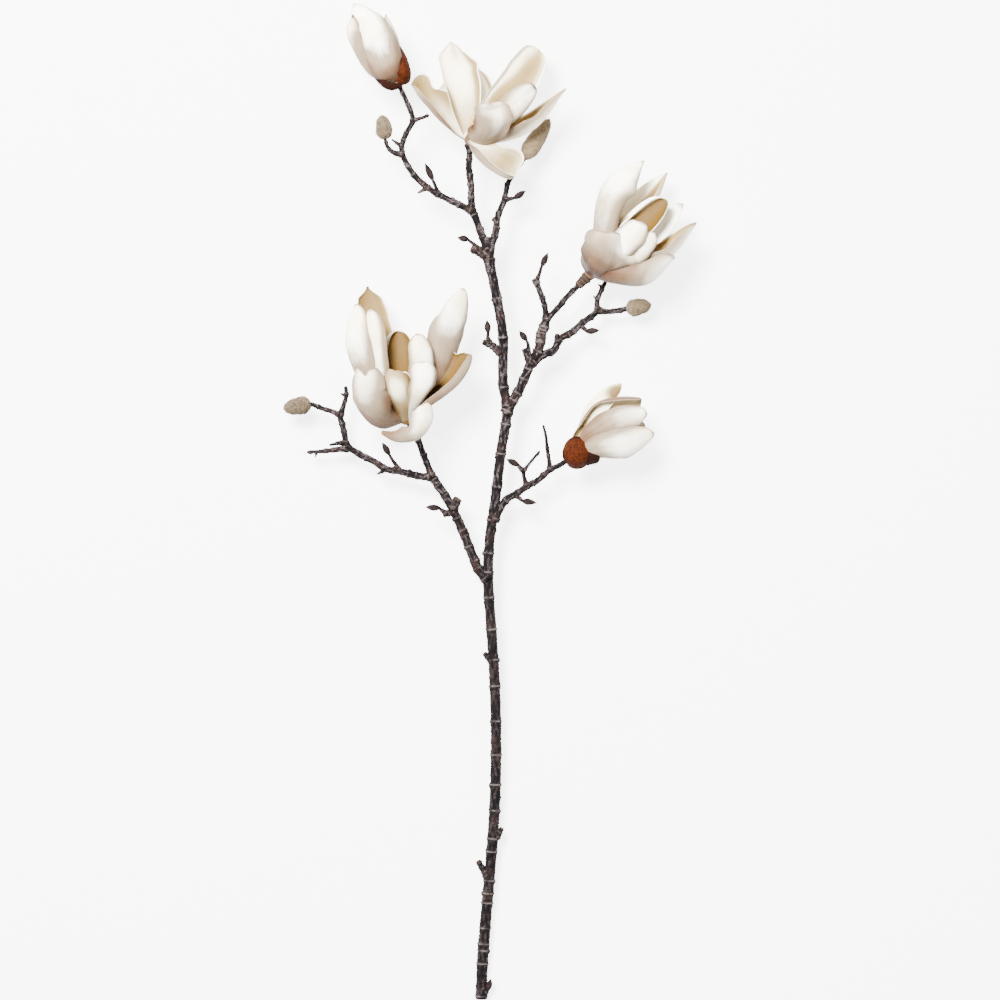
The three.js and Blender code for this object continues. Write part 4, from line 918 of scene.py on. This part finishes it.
def stamen_parts(bloom, seed):
    """A cone of pistils with curved stamens round its foot, set by the golden angle."""
    seat, axis = stand(bloom)
    right = unit(np.cross([0, 0, 1.0], axis))
    ahead = np.cross(axis, right)
    rings, share = spindle(*(seat + axis * reach for reach in CONE_REACH), **CONE, seed=seed)
    parts = [skin(rings, dict(along=share, kind=0))]
    for k in range(bpy.context.scene.magnolia_sizes.stamens):
        turn = k * GOLDEN * tau
        spoke = right * np.cos(turn) + ahead * np.sin(turn)
        up = STAMEN_FOOT + STAMEN_CLIMB * k
        out, length = LOW_STAMEN if up < STAMEN_TIER else HIGH_STAMEN
        start = seat + axis * up + spoke * out
        bend = start + axis * length * 0.6 + spoke * 1.4
        s, place, along = by_length([start, bend, start + axis * length + spoke * 2.4], 1.2)
        side = unit(np.cross(along, spoke))
        other = np.cross(along, side)
        share = s / s[-1]
        thick = (STAMEN_RADIUS * np.sqrt(np.maximum(1 - share**3, 0.05)))[:, None, None]
        rings = place[:, None] + spokes(wheel(STAMEN_SIDES), side[:, None], other[:, None]) * thick
        parts.append(skin(rings, dict(along=share[:, None], kind=1)))
    return parts


# ---------------- colours and materials


def shade(code):
    """A linear colour from a screen colour written as a hex number."""
    part = np.array([code >> 16 & 255, code >> 8 & 255, code & 255]) / 255
    line = np.where(part < 0.04045, part / 12.92, ((part + 0.055) / 1.055) ** 2.4)
    return tuple(float(x) for x in line)


class Finish:
    """A node material under construction: each method adds a node and returns its output."""

    def __init__(self, name, roughness, **sockets):
        self.material = bpy.data.materials.new(name)
        self.material.use_nodes = True
        self.nodes = self.material.node_tree.nodes
        self.links = self.material.node_tree.links
        self.shader = self.nodes["Principled BSDF"]
        self.shader.inputs["Roughness"].default_value = roughness
        for socket, value in sockets.items():
            self.shader.inputs[socket.replace("_", " ")].default_value = value

    def node(self, kind, inputs, **settings):
        """A node with its settings, and with each input set or linked."""
        made = self.nodes.new(kind)
        for name, value in settings.items():
            setattr(made, name, value)
        for key, value in inputs.items():
            if isinstance(value, bpy.types.NodeSocket):
                self.links.new(value, made.inputs[key])
            elif value is not None:
                made.inputs[key].default_value = value
        return made

    def mark(self, name):
        """A value stored on the mesh."""
        return self.node("ShaderNodeAttribute", {}, attribute_name=name).outputs["Fac"]

    def place(self):
        """The object's own coordinates, in metres."""
        return self.node("ShaderNodeTexCoord", {}).outputs["Object"]

    def join(self, *xyz):
        """A vector of three values."""
        return self.node("ShaderNodeCombineXYZ", dict(zip("XYZ", xyz))).outputs[0]

    def maths(self, operation, a, b=None, c=None, clamp=False):
        """The result of an operation on up to three values."""
        inputs = {0: a, 1: b, 2: c}
        return self.node("ShaderNodeMath", inputs, operation=operation, use_clamp=clamp).outputs[0]

    def times(self, a, b):
        """The product of two values."""
        return self.maths("MULTIPLY", a, b)

    def plus(self, a, b, clamp=False):
        """The sum of two values, kept from zero to one if clamped."""
        return self.maths("ADD", a, b, clamp=clamp)

    def swing(self, value, size):
        """The value, which lies about a half, carried to lie about zero at the given size."""
        return self.maths("MULTIPLY_ADD", value, size, -size / 2)

    def fit(self, value, low, high, start=0.0, end=1.0):
        """The value carried smoothly from one range to another."""
        inputs = {"Value": value, "From Min": low, "From Max": high, "To Min": start, "To Max": end}
        made = self.node("ShaderNodeMapRange", inputs, interpolation_type="SMOOTHSTEP")
        return made.outputs["Result"]

    def noise(self, scale, detail, vector=None, roughness=0.5):
        """Even noise in the piece's own coordinates, or on the given vector."""
        vector = self.place() if vector is None else vector
        inputs = {"Vector": vector, "Scale": scale, "Detail": detail, "Roughness": roughness}
        return self.node("ShaderNodeTexNoise", inputs).outputs["Fac"]

    def blend(self, factor, first, second, mode="MIX"):
        """The first colour at factor zero, and the second at one."""
        inputs = {0: factor, 6: first, 7: second}
        for key in (6, 7):
            if not isinstance(inputs[key], bpy.types.NodeSocket):
                inputs[key] = (*inputs[key], 1.0)
        return self.node("ShaderNodeMix", inputs, data_type="RGBA", blend_type=mode).outputs[2]

    def coats(self, base, *layers):
        """Colours laid over the base in turn, each as far as its factor says."""
        for factor, colour in layers:
            base = self.blend(factor, base, colour)
        return base

    def done(self, colour, height=None, distance=0.0, strength=0.0):
        """Sets the colour and the fine grain, and returns the material."""
        self.links.new(colour, self.shader.inputs["Base Color"])
        if height is not None:
            inputs = {"Height": height, "Distance": distance, "Strength": strength}
            grain = self.node("ShaderNodeBump", inputs).outputs["Normal"]
            self.links.new(grain, self.shader.inputs["Normal"])
        return self.material


def bark_material(colours):
    """Dark purple-brown bark, reddish at the joints, streaked pale, with grey ring scars."""
    made = Finish("bark", 0.82, Specular_IOR_Level=0.06)
    crust, fine = made.mark("crust"), made.noise(1000, 4)
    up = made.node("ShaderNodeSeparateXYZ", {"Vector": made.place()}).outputs["Y"]
    worn = made.times(made.fit(crust, 0.45, 0.9), made.fit(fine, 0.45, 0.6))
    base = made.coats(
        colours.bark_dark,
        (made.fit(crust, 0.25, 0.75), colours.bark),
        (made.fit(made.mark("red"), 0.05, 0.7, 0, 0.7), colours.bark_red),
        (made.times(worn, made.fit(up, -0.12, 0.12, 0.3, 1.15)), colours.bark_pale),
        (made.mark("cut"), colours.cut_wood),
    )
    base = made.blend(made.fit(made.noise(1500, 2), 0.4, 0.56, 0.2, 1), colours.bark_dark, base)
    scar = made.times(made.mark("scar"), made.fit(fine, 0.38, 0.55, 0.35, 0.85))
    return made.done(made.blend(scar, base, colours.scar), made.noise(1500, 4), 0.0004, 0.8)


def tepal_material(colours):
    """Waxy tepals: cream outside with a pinkish tan foot that is partly painted shade, darker
    toward the flanks as painted shade and outlined at the outer margin and point in painted shade;
    inside tan to ochre with patches of painted shade, and whitened as painted light where a tepal
    lies in shade; white along the margins, bruised brown at the point, with fine streaks along the
    veins."""
    made = Finish("tepal", 0.55, Specular_IOR_Level=0.1, Subsurface_Weight=0.08,
                  Subsurface_Scale=0.004, Subsurface_Radius=(1.0, 0.7, 0.45))
    along, across, inner = made.mark("along"), made.mark("across"), made.mark("inner")
    lengthwise = made.join(made.times(across, 9.0), made.times(along, 1.3), made.times(inner, 5.0))
    streak, cloud = made.noise(1.6, 5, lengthwise, 0.65), made.noise(42, 3)
    foot = made.plus(made.plus(along, made.swing(streak, 0.16)), made.swing(cloud, 0.3))
    side = made.maths("ABSOLUTE", across)
    # Painted shade: the outside darkens toward both flanks, and the patch mark adds to it.
    flank_shade = made.plus(made.fit(side, 0.3, 0.97, 0, 0.4), made.mark("flush"))
    # The foot's blush, partly real and partly painted shade where the tepals crowd, plus the flank shade.
    flush = made.plus(made.times(made.fit(foot, 0.0, 0.8, 1, 0), made.mark("blush")), flank_shade)
    # The outer margin and point, which get a thin painted shade outline below.
    brim = made.maths("MAXIMUM", made.fit(side, 0.95, 0.99), made.fit(along, 0.97, 0.995))
    # Outside: painted shade, then blush with painted shade, then the darkest foot of both.
    outside = made.coats(
        colours.tepal,
        (made.fit(cloud, 0.38, 0.62), colours.tepal_white),
        (made.fit(flush, 0.0, 0.5), colours.tepal_shade),
        (made.fit(flush, 0.5, 1.0), colours.tepal_blush),
        (made.fit(flush, 1.0, 1.5), colours.tepal_foot_and_shade),
        # Painted shade outline along the outer margin and point.
        (made.times(brim, 0.7), colours.tepal_blush),
    )
    warm = made.plus(made.mark("warm"), made.swing(streak, 0.3))
    # glow: the inside's tan and ochre, whose patches are partly painted shade.
    glow = made.plus(warm, made.fit(foot, 0.0, 0.7, 0.35, 0), clamp=True)
    # Below zero, warm leaves the inside white: painted light on tepals that lie in shade.
    inside = made.coats(
        colours.tepal_white,
        (made.fit(warm, -0.5, 0.0), colours.tepal_inside),
        (made.fit(glow, 0.0, 0.55), colours.tepal_tan),
        (made.fit(glow, 0.5, 1.0), colours.tepal_ochre),
    )
    bruise = made.times(made.fit(along, 0.93, 1.0), made.fit(cloud, 0.3, 0.55))
    whole = made.coats(
        outside,
        (inner, inside),
        (made.times(made.fit(side, 0.88, 0.985, 0, 0.8), inner), colours.tepal_white),
        (made.times(bruise, made.mark("tip")), colours.tepal_tip),
    )
    veined = made.fit(streak, 0.3, 0.7, 0.94, 1.02)
    whole = made.blend(1.0, whole, made.join(veined, veined, veined), "MULTIPLY")
    return made.done(whole, made.plus(streak, made.times(made.noise(900, 2), 0.25)), 0.0006, 0.6)


def scale_material(colours):
    """Orange-brown bud scales with dark edges and pale hair points."""
    made = Finish("bud_scale", 0.8, Specular_IOR_Level=0.04)
    along, across = made.mark("along"), made.mark("across")
    brim = made.maths("MAXIMUM", made.fit(made.maths("ABSOLUTE", across), 0.72, 1.0),
                      made.fit(along, 0.9, 1.0))
    lengthwise = made.join(made.times(across, 8.0), along)
    streak = made.plus(made.noise(1.7, 4, lengthwise), made.noise(420, 4))
    dark = made.maths("MAXIMUM", made.times(brim, 0.85), made.mark("dark"), clamp=True)
    base = made.coats(
        colours.scale_dark,
        (made.fit(streak, 0.8, 1.15), colours.scale),
        (made.times(made.mark("hair"), 0.5), colours.scale_hair),
        (dark, colours.scale_edge),
    )
    return made.done(base, made.noise(1300, 3), 0.0005, 0.8)


def down_material(colours):
    """Grey-green down: dark at the roots of the hairs and pale at their points, and whitened on two buds as
    painted light, the top right one lying in the top bloom's shade.
    """
    made = Finish("down", 0.95, Specular_IOR_Level=0.1, Sheen_Weight=0.06, Sheen_Roughness=0.6)
    base = made.coats(
        colours.down_dark,
        (made.fit(made.noise(380, 3), 0.38, 0.62), colours.down),
        (made.times(made.mark("painted_light"), 0.6), colours.down_pale_and_light),
        (made.times(made.mark("hair"), 0.8), colours.down_pale_and_light),
    )
    return made.done(base, made.noise(1800, 3), 0.0005, 0.6)


def leaf_bud_material(colours):
    """Reddish purple-brown leaf buds, mottled, and dark in the seam."""
    made = Finish("leaf_bud", 0.75, Specular_IOR_Level=0.05)
    base = made.coats(
        colours.leaf_bud_dark,
        (made.fit(made.noise(300, 3), 0.35, 0.65), colours.leaf_bud),
        (made.times(made.mark("seam"), 0.7), colours.bark_dark),
    )
    return made.done(base, made.noise(1200, 3), 0.0004, 0.6)


def stamen_material(colours):
    """Tan stamens with darker points round a greenish cone."""
    made = Finish("stamen", 0.6)
    base = made.blend(made.fit(made.mark("along"), 0.4, 1), colours.stamen, colours.stamen_tip)
    base = made.blend(made.mark("kind"), colours.pistil, base)
    return made.done(base, made.noise(1600, 2), 0.0003, 0.6)


def floor_material(colours):
    """A matt pale floor, lit from below like a light table."""
    made = Finish("floor", 0.9, Specular_IOR_Level=0.0, Emission_Strength=4.6,
                  Emission_Color=(1.0, 1.0, 1.0, 1.0))
    faint = tuple(c * 0.98 for c in colours.floor)
    return made.done(made.blend(made.noise(3, 2), colours.floor, faint))


# ---------------- settings


def size_property(name, description, default):
    """A length in metres."""
    return bpy.props.FloatProperty(name=name, description=description, default=default,
                                   min=0.0, subtype="DISTANCE", unit="LENGTH", precision=5)


def count_property(name, description, default):
    """A whole number from one up."""
    return bpy.props.IntProperty(name=name, description=description, default=default, min=1)


def colour_property(name, description, code):
    """A colour, whose default is written as a hex number."""
    return bpy.props.FloatVectorProperty(name=name, description=description, size=3,
                                         subtype="COLOR", default=shade(code), min=0, max=1)


class MagnoliaSizes(bpy.types.PropertyGroup):
    """Sizes and counts of the fine detail."""

    bark_step: size_property("Bark step", "Distance between rings of the bark's mesh", 0.0008)
    bark_relief: size_property("Bark relief", "Height of the bark's unevenness", 0.00017)
    ring_height: size_property("Ring height", "How far a ring scar stands out", 0.00055)
    knob_height: size_property("Knob height", "How far the knob at a ring stands out", 0.0009)
    tepal_thickness: size_property("Tepal thickness", "Wall along the midrib", 0.0017)
    margin_thickness: size_property("Margin thickness", "Wall at a tepal's edge", 0.0006)
    vein_depth: size_property("Vein depth", "Height of the veins on a tepal", 0.00009)
    ripple: size_property("Ripple", "Height of the ripples along a tepal's edge", 0.0011)
    swell: size_property("Swell", "Height of the soft unevenness of a tepal", 0.00035)
    tepal_rows: count_property("Tepal rows", "Steps along a tepal", 64)
    tepal_columns: count_property("Tepal columns", "Steps across a tepal", 30)
    bud_hairs: count_property("Bud hairs", "Hairs on each downy bud", 3000)
    scale_hairs: count_property("Scale hairs", "Hairs on each bud scale", 500)
    stamens: count_property("Stamens", "Stamens in each open bloom", 70)


class MagnoliaColours(bpy.types.PropertyGroup):
    """Colours of the branch and of the floor."""

    bark: colour_property("Bark", "Main colour of the bark", 0x181313)
    bark_dark: colour_property("Bark, dark", "Cracks and shaded bark", 0x060405)
    bark_red: colour_property("Bark, red", "Swollen joints", 0x231613)
    bark_pale: colour_property("Bark, pale", "Streaks of worn bark", 0x595151)
    scar: colour_property("Ring scar", "The rings on the bark", 0x57514F)
    cut_wood: colour_property("Cut wood", "Cut ends of stubs", 0x34271D)
    tepal: colour_property("Tepal", "Outside of a tepal", 0xECDEC0)
    tepal_white: colour_property("Tepal, white", "Clear patches of the outside", 0xF9F5E7)
    # Painted shade: the first, palest step of the outside's darkening at flanks, foot and patches.
    tepal_shade: colour_property("Tepal, grey", "Faint streaks of the outside", 0x776957)
    tepal_tip: colour_property("Tepal, point", "Bruised points of the tepals", 0x453C28)
    # Blush and painted shade: the darkest step at the very foot, and the receptacle.
    tepal_foot_and_shade: colour_property("Tepal, foot", "Outside at the very foot", 0x351F16)
    # Blush and painted shade near the foot, and the painted shade outline along the outer margin and point.
    tepal_blush: colour_property("Tepal, blush", "Outside near the foot", 0x594331)
    tepal_inside: colour_property("Tepal, inside", "Pale inside of a tepal", 0xF3E8CE)
    tepal_tan: colour_property("Tepal, tan", "Warm inside of a tepal", 0x816E48)
    tepal_ochre: colour_property("Tepal, ochre", "Inside near the foot", 0x4D370D)
    scale: colour_property("Bud scale", "Brown scales under the half-open buds", 0x351504)
    scale_dark: colour_property("Bud scale, dark", "Mottling of the scales", 0x210A04)
    scale_edge: colour_property("Bud scale, edge", "Rim of the scales", 0x0A0404)
    scale_hair: colour_property("Bud scale, hair", "Points of the scales' hairs", 0x4B240E)
    down: colour_property("Down", "Winter buds", 0x514536)
    down_dark: colour_property("Down, dark", "Gaps in the down", 0x30261B)
    # Pale hair points, and the painted light on buds in shade.
    down_pale_and_light: colour_property("Down, pale", "Points of the hairs", 0x867457)
    leaf_bud: colour_property("Leaf bud", "Small buds on the twigs", 0x1E1716)
    leaf_bud_dark: colour_property("Leaf bud, dark", "Mottling of the leaf buds", 0x100B0A)
    stamen: colour_property("Stamen", "Stamens in the open blooms", 0xD8B878)
    stamen_tip: colour_property("Stamen, point", "Points of the stamens", 0x9A5A3A)
    pistil: colour_property("Cone", "Cone in the middle of a bloom", 0xB9A25E)
    floor: colour_property("Floor", "The pale floor", 0xBCBCBC)


# ---------------- operators

FLOOR_HALF = 6.0
LOOKED_AT = Vector((0, 0.15, 0.04))
LIGHTS = {
    "key": dict(place=(-0.9, 1.3, 2.9), size=1.1, power=1080.0, colour=(1.0, 0.985, 0.96)),
    "fill": dict(place=(1.6, -0.6, 2.6), size=2.2, power=70.0, colour=(0.97, 0.985, 1.0)),
}
SKY_COLOUR, SKY_STRENGTH = (1.0, 1.0, 1.0, 1.0), 0.25
CAMERA_PLACE = (0.0105, 0.0055, 4.04)
SENSOR_WIDTH, FOCAL_LENGTH, FARTHEST_SEEN = 36.0, 144.0, 20.0


class GrowWood(bpy.types.Operator):
    """Grows the stem, boughs, twigs and stubs as one body with rings and rough bark"""

    bl_idname = "magnolia.grow_wood"
    bl_label = "Grow the wood"

    def execute(self, context):
        material = bark_material(context.scene.magnolia_colours)
        shoots = [mesh_object(f"shoot_{n}", [part], material)
                  for n, part in enumerate(wood_parts())]
        finish_piece(union(shoots[0], shoots[1:], "wood"), "bark", "branch_wood")
        return {"FINISHED"}


class GrowLeafBuds(bpy.types.Operator):
    """Adds the small pointed leaf buds on the twigs"""

    bl_idname = "magnolia.grow_leaf_buds"
    bl_label = "Grow the leaf buds"

    def execute(self, context):
        parts = [leaf_bud_part(bud, n) for n, bud in enumerate(LEAF_BUDS)]
        material = leaf_bud_material(context.scene.magnolia_colours)
        finish_piece(mesh_object("leaf_buds", parts, material), "bark")
        return {"FINISHED"}


class OpenBlooms(bpy.types.Operator):
    """Opens the tepals of the three full blooms and of the two half-open buds"""

    bl_idname = "magnolia.open_blooms"
    bl_label = "Open the blooms"

    def execute(self, context):
        material = tepal_material(context.scene.magnolia_colours)
        for n, (name, bloom) in enumerate((OPEN_BLOOMS | HALF_OPEN_BUDS).items()):
            tepals = mesh_object(f"{name}_petals", bloom_parts(bloom, 100 * n + 7), material)
            finish_piece(tepals, "tepal", f"{name}_tepals")
        return {"FINISHED"}


class SetStamens(bpy.types.Operator):
    """Sets the cone and its stamens in each open bloom"""

    bl_idname = "magnolia.set_stamens"
    bl_label = "Set the stamens"

    def execute(self, context):
        material = stamen_material(context.scene.magnolia_colours)
        for n, (name, bloom) in enumerate(OPEN_BLOOMS.items()):
            stamens = mesh_object(f"{name}_heart", stamen_parts(bloom, n), material)
            finish_piece(stamens, "stamen", f"{name}_stamens")
        return {"FINISHED"}


class FoldScales(bpy.types.Operator):
    """Folds the brown scales round the feet of the half-open buds"""

    bl_idname = "magnolia.fold_scales"
    bl_label = "Fold the bud scales"

    def execute(self, context):
        material = scale_material(context.scene.magnolia_colours)
        for name, bud in HALF_OPEN_BUDS.items():
            for n, shape in enumerate(bud["scales"], 1):
                scale = mesh_object(f"{name}_husk_{n}", scale_parts(bud, shape, 30 + n), material)
                finish_piece(scale, "bud_scale", f"{name}_scale_{n}")
        return {"FINISHED"}


class CoverBuds(bpy.types.Operator):
    """Covers the winter buds in down"""

    bl_idname = "magnolia.cover_buds"
    bl_label = "Cover the winter buds"

    def execute(self, context):
        material = down_material(context.scene.magnolia_colours)
        for n, (name, bud) in enumerate(DOWNY_BUDS.items(), 60):
            cover = mesh_object(f"{name}_winter_bud", downy_parts(bud, n), material)
            finish_piece(cover, "down", f"{name}_downy_bud")
        return {"FINISHED"}


class SetStage(bpy.types.Operator):
    """Lays the pale floor, sets the soft lights and hangs the camera straight over the branch"""

    bl_idname = "magnolia.set_stage"
    bl_label = "Set the stage"

    def execute(self, context):
        scene = context.scene
        mesh = bpy.data.meshes.new("floor")
        corners = [(x * FLOOR_HALF, y * FLOOR_HALF, 0) for x, y in ((-1, -1), (1, -1), (1, 1), (-1, 1))]
        mesh.from_pydata(corners, [], [(0, 1, 2, 3)])
        mesh.materials.append(floor_material(scene.magnolia_colours))
        floor = bpy.data.objects.new("floor", mesh)
        scene.collection.objects.link(floor)
        for name, light in LIGHTS.items():
            add_light(name, **light)
        scene.world = bpy.data.worlds.new("studio")
        scene.world.use_nodes = True
        sky = scene.world.node_tree.nodes["Background"]
        sky.inputs["Color"].default_value = SKY_COLOUR
        sky.inputs["Strength"].default_value = SKY_STRENGTH
        camera = bpy.data.cameras.new("camera")
        camera.sensor_width, camera.lens, camera.clip_end = SENSOR_WIDTH, FOCAL_LENGTH, FARTHEST_SEEN
        seen = bpy.data.objects.new("camera", camera)
        seen.location = CAMERA_PLACE
        scene.collection.objects.link(seen)
        scene.camera = seen
        return {"FINISHED"}


def add_light(name, place, size, power, colour):
    """A square soft light that looks at the middle of the branch."""
    light = bpy.data.lights.new(name, "AREA")
    light.size, light.energy, light.color = size, power, colour
    lamp = bpy.data.objects.new(name, light)
    aim = (LOOKED_AT - Vector(place)).to_track_quat("-Z", "Y")
    lamp.matrix_world = Matrix.Translation(place) @ aim.to_matrix().to_4x4()
    bpy.context.scene.collection.objects.link(lamp)


STEPS = (GrowWood, GrowLeafBuds, OpenBlooms, SetStamens, FoldScales, CoverBuds, SetStage)


class MagnoliaPanel(bpy.types.Panel):
    """Lists the steps and the settings"""

    bl_idname = "VIEW3D_PT_magnolia"
    bl_label = "Magnolia branch"
    bl_space_type = "VIEW_3D"
    bl_region_type = "UI"
    bl_category = "Magnolia"

    def draw(self, context):
        for step in STEPS:
            self.layout.operator(step.bl_idname)
        for group in (context.scene.magnolia_sizes, context.scene.magnolia_colours):
            for name in type(group).__annotations__:
                self.layout.prop(group, name)


CLASSES = (MagnoliaSizes, MagnoliaColours, *STEPS, MagnoliaPanel)


def register():
    for made in CLASSES:
        bpy.utils.register_class(made)
    bpy.types.Scene.magnolia_sizes = bpy.props.PointerProperty(type=MagnoliaSizes)
    bpy.types.Scene.magnolia_colours = bpy.props.PointerProperty(type=MagnoliaColours)


def unregister():
    del bpy.types.Scene.magnolia_colours
    del bpy.types.Scene.magnolia_sizes
    for made in reversed(CLASSES):
        bpy.utils.unregister_class(made)


def main():
    register()
    for step in STEPS:
        group, name = step.bl_idname.split(".")
        getattr(getattr(bpy.ops, group), name)()


if __name__ == "__main__":
    main()
